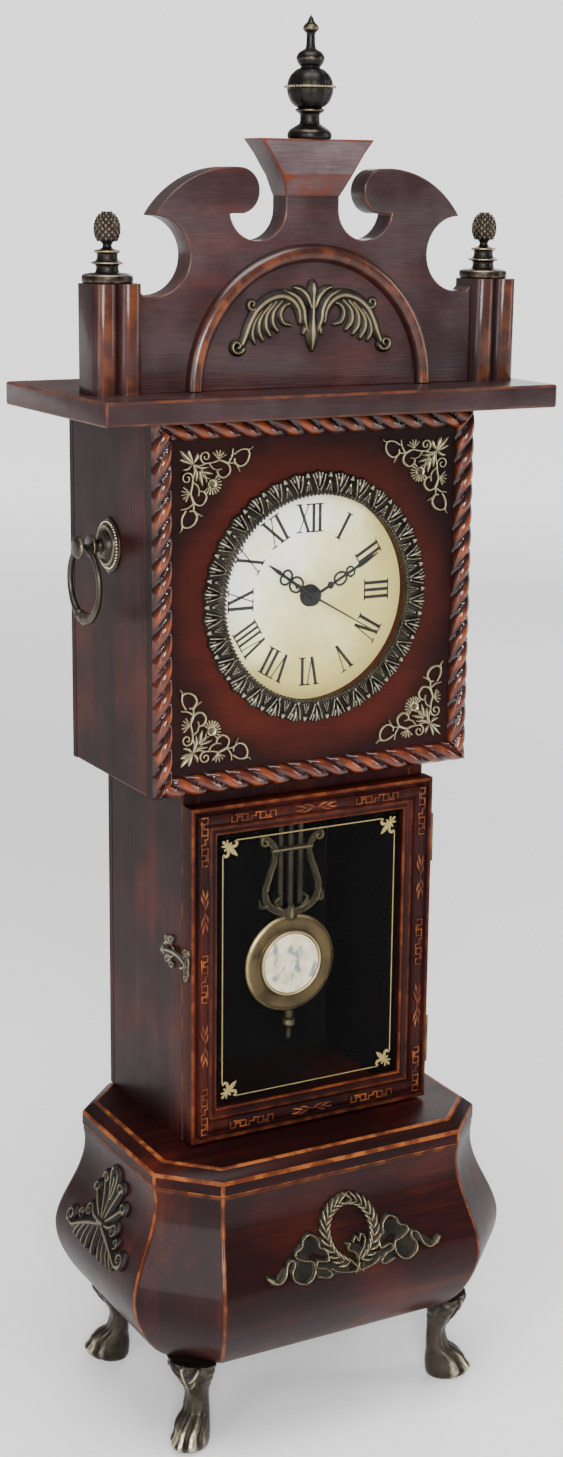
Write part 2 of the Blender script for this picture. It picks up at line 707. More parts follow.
scroll_strokes = both_sides([
    # the outer leaf of the arching scroll, and its ridge
    stroke(RIDGED, (6.2, 14.5, 1.2, 1.0), (7.2, 20.2, 1.9, 1.6), (10.8, 24.4, 2.2, 1.9), (16, 26.2, 2.3, 2.0),
           (22.3, 24.6, 2.3, 2.0), (28, 20.4, 2.2, 1.9), (31.6, 14.5, 2.1, 1.8), (33.6, 9.5, 1.9, 1.8),
           (35.4, 5.6, 1.6, 1.8)),
    volute(RIDGED, 37.8, 4.7, 3.4, 200, 1.15, 1.3, 1.8),
    volute(RIDGED, 30.4, 22.8, 2.7, 215, 1.05, 1.1, 1.4),
    # the fingers that hang inside the scroll
    stroke(RIDGED, (15.6, 24, 1.1, 1.2), (19.6, 19.6, 1.5, 1.5), (20.2, 14.6, 1.6, 1.5), (17.6, 11, 1.0, 0.9)),
    stroke(RIDGED, (18.4, 24, 1.2, 1.2), (23.0, 18.4, 1.6, 1.5), (23.6, 12.9, 1.7, 1.5), (21.2, 9.0, 1.0, 0.9)),
    stroke(RIDGED, (21, 23, 1.2, 1.2), (26.2, 17, 1.7, 1.5), (27.2, 11.6, 1.7, 1.5), (25.0, 7.2, 1.0, 0.9)),
    stroke(RIDGED, (25, 21, 1.2, 1.0), (29.3, 15, 1.6, 1.3), (30.4, 9.6, 1.5, 1.3), (28.8, 6.0, 0.8, 0.8)),
    # the open curl beside the stem
    stroke(RIDGED, (10.4, 23.2, 0.9, 1.1), (14.2, 22.0, 1.2, 1.3), (16.2, 18.4, 1.3, 1.3), (14.8, 14.6, 1.2, 1.2),
           (11.0, 13.4, 0.8, 0.9)),
    # two pairs of side leaves
    stroke(RIDGED, (2.6, 10.8, 0.9, 1.2), (4.2, 15.4, 1.8, 2.1), (5.0, 20.4, 2.0, 2.2), (8.2, 25.6, 1.9, 2.0),
           (14.2, 28.6, 0.6, 0.9)),
    stroke(RIDGED, (1.0, 21.0, 1.0, 2.0), (3.2, 26.0, 1.9, 2.3), (6.2, 28.8, 1.5, 2.0), (9.6, 29.9, 0.6, 1.0)),
    stroke(ROUND, (3.4, 12.6, 1.5, 1.2), (4.6, 9.8, 1.0, 0.8)),
]) + [
    stroke(RIDGED, (0, 25, 1.5, 2.3), (0, 29, 2.4, 2.6), (0, 31.2, 1.7, 1.8)),
    stroke(RIDGED, (0, 26, 1.6, 2.3), (0, 16, 1.7, 2.2), (0, 8.5, 2.9, 2.4), (0, 2.2, 0.8, 1.0)),
]
mount_brass = aged_brass("mount_brass", body=(0.022, 0.018, 0.011), wiped=0.5)
crest_mount_low = span("crest_mount")[0]
SCROLL_CELL = 0.4
crest_scroll = casting(widened(scroll_strokes, 1.22), SCROLL_CELL)
make("crest_scroll_mount", crest_scroll.at(0, crest_front, crest_mount_low[2] + SCROLL_CELL),
     mount_brass, "case", "antique_brass", "crest_mount", crisp=60)

# ------------------------------------------------------------------------------ the plinth's wreath
# A cast laurel wreath between two fluttering ribbons, bent to the front panel's swell and pinned on.

WREATH_RADIUS = 12.6
LEAVES_PER_BRANCH = 12


def on_swell(shape, turn, lift):
    """Wraps a flat casting on the plinth's wall, on the face that a turn about the middle brings forward."""
    def wrap(points):
        height = points[:, 2] + lift
        distance = half_depth if turn in (0, 180) else half_width
        outward = distance + swell(height) - points[:, 1] - 0.05
        flat = np.stack([points[:, 0], -outward, height], 1)
        return flat @ about_z(turn)
    return shape.placed(wrap)


wreath_strokes = []
for number in range(LEAVES_PER_BRANCH):
    share = number / (LEAVES_PER_BRANCH - 1)
    angle = math.radians(-76 + 150 * share)
    base = WREATH_RADIUS * np.array([math.cos(angle), 1.06 * math.sin(angle)])
    heading = angle + math.pi / 2
    for lean, long in ((-30, 6.6), (32, 5.6)):
        way = heading + math.radians(lean)
        middle = base + 0.5 * long * np.array([math.cos(way), math.sin(way)])
        turn_in = way + 0.22 * (1 if lean < 0 else 0.3)
        tip = middle + 0.5 * long * np.array([math.cos(turn_in), math.sin(turn_in)])
        wreath_strokes.append(stroke(
            RIDGED, (*base, 0.7, 1.5), (*middle, 1.55, 2.3), (*tip, 0.3, 1.1), steps=4))
wreath_strokes += [
    # the ribbon's body, its fluttering hem and its curled tail
    stroke(DULL, (16, -5, 3.2, 0.9), (21.6, -2.6, 3.6, 1.1), (27, -5.2, 3.6, 1.1), (28.0, -9.5, 3.0, 1.0)),
    stroke(DULL, (24.0, -12, 3.0, 0.9), (28.6, -12.8, 4.2, 1.2), (32.0, -11.6, 2.4, 1.0)),
    stroke(DULL, (33.4, -8.6, 1.5, 0.9), (36.6, -10.4, 2.0, 1.0), (40.6, -13.2, 1.8, 1.0)),
    stroke(DULL, (5, -15.8, 1.8, 0.9), (12, -14.8, 2.6, 1.1), (18.6, -13.4, 3.2, 1.1), (21, -12.4, 2.4, 0.9)),
    stroke(RIDGED, (17.4, -4.2, 0.9, 1.9), (17.8, -0.4, 1.0, 2.2), (21.6, 2.3, 1.0, 2.3), (25.4, 0.5, 1.0, 2.2),
           (26.7, -2.2, 1.0, 2.1), (30.1, -3.7, 1.0, 2.1), (30.5, -5.8, 1.0, 2.1), (26.7, -7.8, 1.0, 2.1),
           (22.5, -9.1, 1.0, 2.1), (22.0, -12.9, 1.0, 2.2), (24.2, -16.2, 1.0, 2.2), (28.4, -17.5, 1.0, 2.2),
           (33.0, -15.3, 1.0, 2.2), (33.9, -11.8, 1.0, 2.1), (31.8, -8.5, 1.0, 2.1), (32.6, -6.5, 1.0, 2.1),
           (35.6, -7.7, 1.1, 2.2), (37.7, -12.5, 1.2, 2.2), (41.1, -14.7, 1.2, 2.2), (44.5, -13.6, 1.5, 2.3)),
    stroke(ROUND, (44.6, -13.2, 1.9, 2.4), (46.6, -11.6, 1.3, 2.0), steps=3),
    stroke(RIDGED, (17.4, -4.2, 0.9, 1.9), (14.4, -6.0, 0.9, 1.9), (14.0, -9.4, 1.3, 2.2), (15.3, -10.2, 1.0, 2.2),
           (19.9, -9.4, 0.9, 2.1), (20.8, -11.8, 0.9, 2.1), (16.5, -13.1, 0.9, 2.1), (13.6, -16.0, 0.9, 2.1),
           (15.7, -17.2, 0.9, 2.1), (20.8, -15.9, 0.9, 2.0)),
    stroke(RIDGED, (13.6, -13.8, 0.8, 1.8), (9.7, -15.9, 0.9, 2.1), (3.8, -17.2, 0.9, 2.1), (-1.6, -17.6, 0.8, 1.9)),
]
wreath_strokes = both_sides(wreath_strokes) + [
    # the heart of ribbon inside the wreath and the crossed stems under it
    stroke(DULL, (-1.4, -6.6, 1.2, 1.0), (2.2, -8.4, 2.2, 1.2), (1.6, -12.0, 1.6, 1.1)),
    stroke(RIDGED, (-3.8, -5.0, 0.9, 2.0), (-1.4, -5.4, 0.9, 2.1), (-3.2, -7.4, 0.9, 2.1), (0.4, -9.6, 0.9, 2.0),
           (1.6, -12.6, 0.9, 1.8)),
    stroke(RIDGED, (0.2, -5.0, 0.9, 2.0), (2.1, -2.9, 0.9, 2.2), (3.4, -5.1, 0.9, 2.2), (5.1, -2.3, 0.9, 2.2),
           (6.8, -4.3, 0.9, 2.2), (5.5, -7.8, 0.9, 2.1), (2.1, -11.5, 0.9, 2.0), (1.3, -15.0, 0.9, 2.1),
           (-0.8, -18.2, 1.0, 1.7)),
    stroke(RIDGED, (-3.4, -11.4, 0.8, 1.6), (0, -15.2, 1.0, 2.0), (3.6, -18.6, 0.9, 1.4)),
]
wreath_high = span("wreath_mount")[1]
wreath_shape = on_swell(casting(wreath_strokes, 0.40), 0, wreath_high[2] - 19.0)
make("wreath_casting", wreath_shape, mount_brass, "case", "antique_brass", "wreath_mount", crisp=60)

# ------------------------------------------------------------------------------ the side palmettes
# A cast palmette on each side panel: a crown of curled leaves over a collar, and a skirt of scrolls below.

palmette_strokes = both_sides([
    # the crown's curled leaves
    stroke(RIDGED, (1.4, 1, 1.3, 1.6), (4.4, 9, 2.2, 2.3), (7.6, 15.6, 2.2, 2.2), (9.6, 18.8, 1.7, 1.9)),
    volute(RIDGED, 7.6, 18.2, 3.2, -10, 1.0, 1.4, 2.4),
    stroke(RIDGED, (0.6, 10, 1.2, 1.8), (2.6, 17, 1.9, 2.3), (3.2, 23.4, 1.6, 2.0), (1.4, 25.6, 1.2, 1.8)),
    stroke(RIDGED, (2.4, 0.6, 1.4, 1.6), (8.6, 5.6, 2.4, 2.2), (13.0, 9.6, 2.0, 2.0), (15.6, 9.8, 1.5, 1.8)),
    volute(RIDGED, 13.8, 11.4, 2.9, -40, 0.9, 1.3, 2.3),
    # the curls at the collar
    stroke(RIDGED, (2.4, -0.6, 1.4, 1.6), (8.4, 0.4, 2.0, 2.0), (13.0, 3.4, 1.5, 1.8)),
    volute(RIDGED, 13.2, 0.6, 3.0, 80, -1.0, 1.3, 2.3),
    # the skirt: wide arms, their volutes and the fringe of leaves below
    stroke(RIDGED, (1.6, -1.6, 2.0, 1.8), (9.6, -4.0, 2.6, 2.2), (17.8, -7.4, 2.2, 2.2), (24.2, -10.6, 1.9, 2.1),
           (28.6, -10.4, 1.6, 2.0)),
    volute(RIDGED, 27.4, -7.0, 3.6, -60, 1.1, 1.6, 2.5),
    volute(RIDGED, 19.0, -2.6, 2.5, -90, 1.0, 1.1, 2.0),
    stroke(ROUND, (28.6, -9.6, 1.9, 2.4), (29.2, -9.4, 1.9, 2.4), steps=2),
    stroke(RIDGED, (16.0, -6.6, 1.2, 1.7), (19.4, -10.8, 1.7, 2.0), (21.4, -14.0, 1.0, 1.5)),
    stroke(RIDGED, (12.4, -5.4, 1.2, 1.7), (15.4, -10.4, 1.7, 2.0), (17.4, -14.6, 1.0, 1.5)),
    stroke(RIDGED, (8.6, -4.6, 1.2, 1.7), (10.8, -10.0, 1.7, 2.0), (12.4, -15.0, 1.0, 1.5)),
    stroke(RIDGED, (4.8, -3.6, 1.2, 1.7), (6.2, -9.4, 1.7, 2.0), (7.4, -15.2, 1.0, 1.5)),
]) + [
    stroke(RIDGED, (0, 0, 1.6, 2.0), (0, 12, 1.9, 2.4), (0, 21.4, 1.5, 2.0)),
    stroke(ROUND, (-2.4, 0, 1.8, 2.6), (2.4, 0, 1.8, 2.6), steps=3),
    stroke(RIDGED, (0, -2, 1.9, 2.2), (0, -9, 1.9, 2.2), (0, -15.6, 1.0, 1.6)),
]
palmette = casting(widened(palmette_strokes, 1.14), 0.42)
palmette_lift = span("side_mounts")[0][2] + 16.4
side_brass = aged_brass("side_brass", body=(0.018, 0.015, 0.014), bright=(0.40, 0.33, 0.21), wiped=0.6)
make("palmette_castings", on_swell(palmette, 90, palmette_lift) + on_swell(palmette, -90, palmette_lift),
     side_brass, "case", "antique_brass", "side_mounts", crisp=60)

# ------------------------------------------------------------------------------ the paw feet
# Four hollow-cast brass feet screwed under the plinth's corners: a leafed knee, a slim ankle and a paw with
# four toes that points out along the diagonal. The toes are rubbed bright, and the folds stay black.

FOOT_AROUND = 96
TOES = 4

foot_height = span("feet")[1][2]
foot_rows = np.array([
    # height share, centre's reach, half width, half length
    (0.000, 3.2, 6.6, 8.6), (0.040, 3.9, 7.9, 10.2), (0.120, 4.2, 8.4, 11.0), (0.210, 3.4, 8.2, 10.2),
    (0.300, 1.2, 7.5, 7.6), (0.380, -0.8, 6.8, 5.8), (0.480, -1.7, 6.2, 4.9), (0.570, -1.6, 6.1, 4.9),
    (0.670, -0.6, 7.2, 5.9), (0.780, 1.0, 9.2, 7.4), (0.870, 2.2, 10.6, 8.6), (0.940, 2.8, 11.6, 9.2),
    (1.000, 2.6, 11.8, 9.2)])


def paw_foot(middle_x, middle_y):
    rows = flowing(foot_rows, 6)
    rows[:, 0] = np.clip(rows[:, 0], 0, 1)
    angles = np.linspace(0, 2 * math.pi, FOOT_AROUND, endpoint=False)
    front = np.clip(np.cos(angles), 0, 1)
    heading = math.atan2(middle_y, middle_x)
    rings = []
    marks = []
    for share, reach, wide, long in rows:
        toe_share = np.clip((0.52 - share) / 0.20, 0, 1) * np.clip(np.cos(angles) * 1.6, 0, 1) ** 0.5
        groove = abs(np.cos(angles * TOES * 1.08)) ** 0.55
        toes = 1 + toe_share * (0.24 * groove - 0.18)
        knuckle = 1 + 0.07 * toe_share * math.cos((share - 0.10) * 34)
        knee = np.clip((share - 0.56) / 0.3, 0, 1)
        lobes = abs(np.cos(2.5 * angles)) ** 0.6
        leaf = 1 + knee * (0.16 * lobes - 0.09 + 0.05 * math.cos(share * 62) * lobes)
        tendon = 1 + 0.06 * np.clip(1 - abs(share - 0.52) / 0.2, 0, 1) * np.cos(angles * 5)
        stretch = toes * leaf * tendon * knuckle
        along = reach + long * np.cos(angles) * stretch
        across = wide * np.sin(angles) * stretch
        rings.append(np.stack([along, across, np.full(FOOT_AROUND, share * foot_height)], 1))
        tips = math.exp(-((share - 0.13) / 0.12) ** 2)
        bright = toe_share * np.clip(groove * 2.0 - 1.0, 0, 1) * (0.35 + 0.65 * tips)
        body = 0.10 + 0.12 * (1 - knee)
        marks.append(np.maximum(body + 0.75 * bright, 0.42 * knee * lobes ** 4) - 0.3 * toe_share * (1 - groove))
    spin = about_z(math.degrees(heading))
    return loft(rings, np.array(marks)).placed(lambda points: points @ spin + (middle_x, middle_y, 0))


def leaf_on_knee(middle_x, middle_y):
    """The drooping acanthus on a knee's outer face."""
    leaf = casting(both_sides([
        stroke(RIDGED, (1.0, 4, 1.0, 0.9), (4.4, 8, 1.8, 1.2), (7.8, 13.4, 1.4, 0.8)),
        stroke(RIDGED, (0.8, 0, 0.9, 0.8), (3.0, 3.0, 1.5, 1.1), (5.6, 8.6, 1.0, 0.7)),
    ]) + [stroke(RIDGED, (0, -3, 0.6, 0.8), (0, 4, 1.6, 1.4), (0, 13.6, 1.9, 1.2))], 0.5, 0.3)
    heading = math.atan2(middle_y, middle_x)

    def wrap(points):
        height = points[:, 2] + 31
        row = flowing(foot_rows, 6)
        share = height / foot_height
        reach = np.interp(share, row[:, 0], row[:, 1])
        long = np.interp(share, row[:, 0], row[:, 3])
        wide = np.interp(share, row[:, 0], row[:, 2])
        turn = points[:, 0] / wide
        outward = reach + (long - points[:, 1] - 0.2) * np.cos(turn)
        across = (wide - points[:, 1]) * np.sin(turn)
        return np.stack([outward * math.cos(heading) - across * math.sin(heading) + middle_x,
                         outward * math.sin(heading) + across * math.cos(heading) + middle_y, height], 1)
    return leaf.placed(wrap)


foot_brass = aged_brass(
    "foot_brass", body=(0.046, 0.038, 0.027), bright=(0.58, 0.49, 0.34), wiped=0.85, gloss=0.22)
foot_middle = half_width - 13.3, half_depth - 13.3
foot_shapes = []
for side_x in (-1, 1):
    for side_y in (-1, 1):
        middle = side_x * foot_middle[0], side_y * foot_middle[1]
        foot_shapes += [paw_foot(*middle), leaf_on_knee(*middle)]
make("cast_paw_feet", gathered(foot_shapes), foot_brass, "case", "antique_brass", "feet", crisp=70)

# ------------------------------------------------------------------------------ the finials
# Turned and cast brass ornaments, blackened: an urn on the keystone with a beaded rim and a spike, and a pine
# cone on a stack of rings on each pilaster. Their rims are wiped bright.


def spun(steps, around=48, flutes=0, deep=0.0, fluted=(0, 0)):
    """A turned shape about Z from (radius, height, mark) steps; flutes are cut between two heights."""
    rings = []
    marks = []
    angles = np.linspace(0, 2 * math.pi, around, endpoint=False)
    for radius, height, mark in steps:
        cut = deep * (fluted[0] < height < fluted[1]) * (1 - abs(np.cos(angles * flutes / 2)) ** 0.6)
        reach = max(radius, 0.02) * (1 - cut)
        rings.append(np.stack([reach * np.cos(angles), reach * np.sin(angles), np.full(around, height)], 1))
        marks.append(np.full(around, mark) * (1 - 2.5 * cut))
    return loft(rings, np.array(marks))


def repeat_tree():
    """A tree of Geometry Nodes that lays copies of a piece, each a step and a turn further than the last."""
    tree = bpy.data.node_groups.new("repeat_piece", "GeometryNodeTree")
    for name, kind in (("Piece", "Geometry"), ("Count", "Int"), ("Step", "Vector"), ("Turn", "Vector"),
                       ("Finish", "Material")):
        tree.interface.new_socket(name, in_out="INPUT", socket_type="NodeSocket" + kind)
    tree.interface.new_socket("Pieces", in_out="OUTPUT", socket_type="NodeSocketGeometry")
    given, line, index, turn, euler, copies, real, finished, result = (tree.nodes.new(kind) for kind in (
        "NodeGroupInput", "GeometryNodeMeshLine", "GeometryNodeInputIndex", "ShaderNodeVectorMath",
        "FunctionNodeEulerToRotation", "GeometryNodeInstanceOnPoints", "GeometryNodeRealizeInstances",
        "GeometryNodeSetMaterial", "NodeGroupOutput"))
    turn.operation = "SCALE"
    for start, end in (
            (given.outputs["Count"], line.inputs["Count"]), (given.outputs["Step"], line.inputs["Offset"]),
            (given.outputs["Turn"], turn.inputs["Vector"]), (index.outputs[0], turn.inputs["Scale"]),
            (turn.outputs[0], euler.inputs[0]), (line.outputs[0], copies.inputs["Points"]),
            (given.outputs["Piece"], copies.inputs["Instance"]), (euler.outputs[0], copies.inputs["Rotation"]),
            (copies.outputs[0], real.inputs[0]), (real.outputs[0], finished.inputs["Geometry"]),
            (given.outputs["Finish"], finished.inputs["Material"]), (finished.outputs[0], result.inputs[0])):
        tree.links.new(start, end)
    return tree


repeat_nodes = repeat_tree()


def repeated(shape, count, finish, step=(0, 0, 0), turn=(0, 0, 0)):
    """Copies of a shape, each a step in millimetres and a turn in degrees further on."""
    holder = bpy.data.objects.new("pattern", solid_mesh("pattern", shape))
    bpy.context.scene.collection.objects.link(holder)
    change = holder.modifiers.new("repeat", "NODES")
    change.node_group = repeat_nodes
    values = {"Count": count, "Step": [value * MM for value in step], "Turn": [math.radians(v) for v in turn],
              "Finish": finish.material}
    for socket in repeat_nodes.interface.items_tree:
        if socket.name in values:
            change[socket.identifier] = values[socket.name]
    view = bpy.context.evaluated_depsgraph_get()
    mesh = bpy.data.meshes.new_from_object(holder.evaluated_get(view))
    bpy.data.objects.remove(holder)
    points = np.array([vertex.co for vertex in mesh.vertices]) / MM
    marks = np.zeros(len(points), np.float32)
    mesh.attributes["mark"].data.foreach_get("value", marks)
    return Shape(points, [tuple(face.vertices) for face in mesh.polygons], marks)


def bead(radius, mark=0.9, rings=6, around=8):
    """A small ball of a beaded rim."""
    angles = np.linspace(0, math.pi, rings + 1)
    return spun([(radius * math.sin(a), -radius * math.cos(a), mark) for a in angles], around)


urn_steps = flowing([
    (9.0, 0, 0.1), (9.7, 0.7, 0.3), (9.7, 2.2, 0.35), (8.8, 3.8, 0.5), (6.4, 5.4, 0.1), (4.6, 6.6, 0.0),
    (4.3, 8.6, 0.25), (4.4, 10.4, 0.0), (5.4, 11.2, 0.1), (6.3, 11.9, 0.6), (6.2, 12.7, 0.4), (5.2, 13.2, 0),
    (6.9, 14.0, 0.1), (8.8, 16.0, 0.2), (10.0, 19.0, 0.2), (10.3, 21.2, 0.1), (11.0, 21.7, 0.7), (11.0, 22.4, 0.7),
    (10.2, 22.9, 0.1), (9.8, 24.6, 0.1), (8.6, 27.0, 0.2), (6.4, 29.0, 0.2), (4.5, 29.9, 0.0), (4.3, 30.5, 0.0),
    (5.3, 31.6, 0.1), (6.1, 33.4, 0.5), (6.1, 34.6, 0.4), (5.0, 36.4, 0.1), (2.7, 37.8, 0.0), (2.1, 38.8, 0.1),
    (1.9, 41.8, 0.3), (1.9, 44.2, 0.2), (2.6, 45.0, 0.2), (3.5, 46.2, 0.6), (3.1, 47.6, 0.5), (1.7, 49.0, 0.4),
    (0.9, 50.8, 0.4), (0.0, 52.3, 0.6)], 4)
finial_low, finial_high = span("centre_finial")
finial_middle = (finial_low[1] + finial_high[1]) / 2
finial_brass = aged_brass("finial_brass", body=(0.012, 0.010, 0.009), wiped=0.6, gloss=0.16)
urn = spun(urn_steps, 64, 8, 0.05, (14.2, 29.0))
urn_beads = repeated(bead(0.5).at(11.0, 0, 22.05), 48, finial_brass, turn=(0, 0, 7.5))
make("urn_finial", (urn + urn_beads).at(0, finial_middle, finial_low[2]), finial_brass, "case", "antique_brass",
     "centre_finial", crisp=50)

ring_steps = flowing([
    (10.2, 0, 0.1), (10.9, 0.5, 0.5), (11.0, 2.6, 0.4), (10.5, 3.6, 0.7), (8.6, 4.1, 0.2), (5.6, 4.4, 0.0),
    (5.0, 5.2, 0.0), (4.8, 6.6, 0.2), (5.2, 7.6, 0.0), (6.8, 8.2, 0.9), (6.9, 8.7, 0.8), (5.2, 9.3, 0.1),
    (4.5, 10.2, 0.0), (4.4, 11.6, 0.2), (4.6, 12.4, 0.0), (5.6, 13.0, 0.9), (5.6, 13.6, 0.7), (3.2, 14.2, 0.0),
    (2.1, 15.0, 0.1), (2.0, 16.2, 0.2), (2.9, 17.4, 0.0), (3.4, 18.0, 0.0)], 4)
cone_profile = flowing([(2.2, 16.8), (4.3, 18.4), (5.35, 21.0), (5.3, 23.6), (4.3, 26.4), (2.5, 28.7), (0.5, 29.7)], 4)


SCALES_PER_ROW = 12


def pine_scale(radius, height):
    """One scale of the cone: a small ridged lozenge that stands off its core."""
    size = 0.42 + 0.24 * radius
    outline = [(0, -1.0 * size), (0.85 * size, 0), (0, 1.15 * size), (-0.85 * size, 0)]
    points = [(radius - 0.3, x, height + z) for x, z in outline]
    points += [(radius + 0.32, 0.5 * x, height + 0.5 * z + 0.15 * size) for x, z in outline]
    faces = [(0, 1, 2, 3), (4, 7, 6, 5)] + [(k, (k + 1) % 4, (k + 1) % 4 + 4, k + 4) for k in range(4)]
    return Shape(points, faces, [0.0] * 4 + [0.55] * 4)


pine_cone = spun([(radius, height, 0.0) for radius, height in cone_profile], 32)
for number, height in enumerate(np.linspace(18.6, 28.9, 9)):
    radius = float(np.interp(height, cone_profile[:, 1], cone_profile[:, 0]))
    scales = repeated(pine_scale(radius, height), SCALES_PER_ROW, finial_brass,
                      turn=(0, 0, 360 / SCALES_PER_ROW))
    stagger = about_z(180 / SCALES_PER_ROW * (number % 2))
    pine_cone = pine_cone + scales.placed(lambda points: points @ stagger)
side_finial = spun(ring_steps, 48) + pine_cone
cone_low, cone_high = span("side_finials")
pilaster_middle = cone_high[0] - 11.0
cone_spot = (pilaster_middle, (cone_low[1] + cone_high[1]) / 2, cone_low[2])
right_finial = side_finial.at(*cone_spot)
cone_brass = aged_brass("cone_brass", body=(0.016, 0.012, 0.009), bright=(0.56, 0.42, 0.28), wiped=0.7, gloss=0.2)
make("pine_cone_finials", right_finial + right_finial.mirrored(), cone_brass, "case", "antique_brass",
     "side_finials", crisp=50)

# ------------------------------------------------------------------------------ the dial
# A printed paper dial behind the hood's round opening: cream, yellowed towards its rim and stained by age, with
# black Roman hours that stand with their feet to the middle.

dial_front = dial_low[1]

paper = Finish("dial_paper", Coat_Weight=0.05)
from_middle = from_dial_middle(paper)
dial_x = paper.axis(0)
dial_up = paper.axis(2) - dial_z * MM
stained_side = (dial_x - dial_up).step(-0.045, 0.035)
cloudy = paper.noise(60, 4.0) - 0.5
age = 0.75 * stained_side + 0.45 * from_middle.step(0.030, 0.050) * stained_side + 0.9 * cloudy + 0.12
cream = paper.ramp(age, (0.08, (0.98, 0.98, 0.94)), (0.36, (0.90, 0.89, 0.50)), (0.95, (0.62, 0.52, 0.17)))
foxing = paper.noise(420, 4.0).step(0.62, 0.74) * from_middle.step(0.030, 0.050)
cream = paper.blend(cream, (0.22, 0.14, 0.06), 0.65 * foxing)
paper.give("Base Color", cream)
paper.give("Roughness", 0.55 + 0.15 * paper.noise(300))
refinish(paper, "dial")

NUMERAL_FOOT = 29.0
NUMERAL_HEIGHT = 13.2
NUMERAL_MOST_WIDE = 13.6
THICK, THIN, SERIF = 1.55, 0.55, 0.6
INK_LIFT = 0.05
HOURS = ("I", "II", "III", "IV", "V", "VI", "VII", "VIII", "IX", "X", "XI", "XII")
LETTER_WIDTH = {"I": 3.3, "V": 6.6, "X": 6.8}
LETTER_LEGS = {
    "I": [(0, 0, THICK)],
    "V": [(-2.3, 0, THICK), (2.3, 0, THIN)],
    "X": [(-2.5, 2.5, THICK), (2.5, -2.5, THIN)],
}


def ink_bar(corners):
    """A thin raised bar of ink from four corners in the dial's plane."""
    points = [(x, dial_front, z) for x, z in corners] + [(x, dial_front - INK_LIFT, z) for x, z in corners]
    faces = [(0, 1, 2, 3), (7, 6, 5, 4)] + [(k, (k + 1) % 4, (k + 1) % 4 + 4, k + 4) for k in range(4)]
    return Shape(points, faces)


def numeral(text):
    """An hour with its foot at z 0, as bars of ink."""
    width = sum(LETTER_WIDTH[letter] for letter in text)
    narrow = min(1.0, NUMERAL_MOST_WIDE / width)
    bars = []
    x = -width / 2
    for letter in text:
        middle = x + LETTER_WIDTH[letter] / 2
        ends = set()
        for top, foot, thick in LETTER_LEGS[letter]:
            reach = thick / 2
            bars.append([(middle + foot - reach, 0), (middle + foot + reach, 0),
                         (middle + top + reach, NUMERAL_HEIGHT), (middle + top - reach, NUMERAL_HEIGHT)])
            ends.add((top, NUMERAL_HEIGHT))
            if letter != "V":
                ends.add((foot, 0))
        for spot, level in sorted(ends):
            foot = 0 if level == 0 else NUMERAL_HEIGHT - SERIF
            wide = 1.75 if letter == "I" else 1.5
            bars.append([(middle + spot - wide, foot), (middle + spot + wide, foot),
                         (middle + spot + wide, foot + SERIF), (middle + spot - wide, foot + SERIF)])
        x += LETTER_WIDTH[letter]
    return gathered([ink_bar([(px * narrow, pz) for px, pz in bar]) for bar in bars])




def mottled(name, grain, dark, pale, roughness, spread, fine, detail=3.0, pale_from=0.8, **constants):
    """A plain finish mottled from dark to pale, and in how rough it is."""
    finish = Finish(name, **constants)
    finish.give("Base Color", finish.ramp(finish.noise(grain, detail), (0.3, dark), (pale_from, pale)))
    finish.give("Roughness", roughness + spread * finish.noise(*fine))
    return finish


ink = mottled("printers_ink", 900, (0.006, 0.006, 0.006), (0.030, 0.026, 0.022), 0.55, 0.2, (500,))
hour_shapes = []
for hour, text in enumerate(HOURS, 1):
    raised = numeral(text).at(0, 0, NUMERAL_FOOT)
    hour_shapes.append(turned_to(raised, -30 * hour).at(0, 0, dial_z))
make("dial_numerals", gathered(hour_shapes), ink, "case", "printed_dial")

# ------------------------------------------------------------------------------ the bezel
# A stamped brass ring pinned round the dial's opening: a fine rope edge holds the glass, and outside it a ring
# of acanthus leaves leans outwards, blackened between its ribs.

BEZEL_LEAVES = 30

bezel_back = span("bezel")[1][1]
glass_radius = span("dial_glass")[1][0]
bezel_brass = aged_brass("bezel_brass", body=(0.035, 0.030, 0.022), bright=(0.46, 0.41, 0.30), wiped=0.9)

leaf_foot = glass_radius - 2.1
half_step = math.pi * (leaf_foot + 5.0) / BEZEL_LEAVES
bezel_motif = casting(both_sides([
    stroke(RIDGED, (0.5, 1.0, 0.7, 1.5), (1.9, 4.6, 0.85, 2.3), (3.1, 8.7, 0.85, 1.7)),
    stroke(RIDGED, (1.1, 6.6, 0.7, 1.6), (1.6, 9.2, 0.8, 1.4)),
    stroke(RIDGED, (half_step - 1.6, 0.9, 0.6, 1.3), (half_step - 0.9, 3.2, 0.7, 1.8),
           (half_step - 0.3, 5.6, 0.5, 1.6)),
    stroke(ROUND, (half_step - 0.5, 7.8, 0.9, 1.5), (half_step, 9.2, 0.8, 1.2), steps=3),
]) + [
    stroke(RIDGED, (0, 3.2, 0.6, 1.7), (0, 6.8, 1.5, 2.6), (0, 9.6, 1.0, 1.6)),
    stroke(DISHED, (-0.1, 1.2, 0.95, 1.9), (0.1, 1.2, 0.95, 1.9), steps=2),
    stroke(RIDGED, (half_step, 1.0, 0.5, 1.3), (half_step, 3.4, 0.6, 2.0), (half_step, 6.4, 0.4, 1.6)),
], 0.36, 0.6)


def bend_round(points):
    """Bends a strip whose foot lies on the X axis round the dial, its foot at the glass's edge."""
    radius = leaf_foot + points[:, 2]
    turn = points[:, 0] / (leaf_foot + 5.0)
    return np.stack([radius * np.sin(turn), points[:, 1], radius * np.cos(turn)], 1)


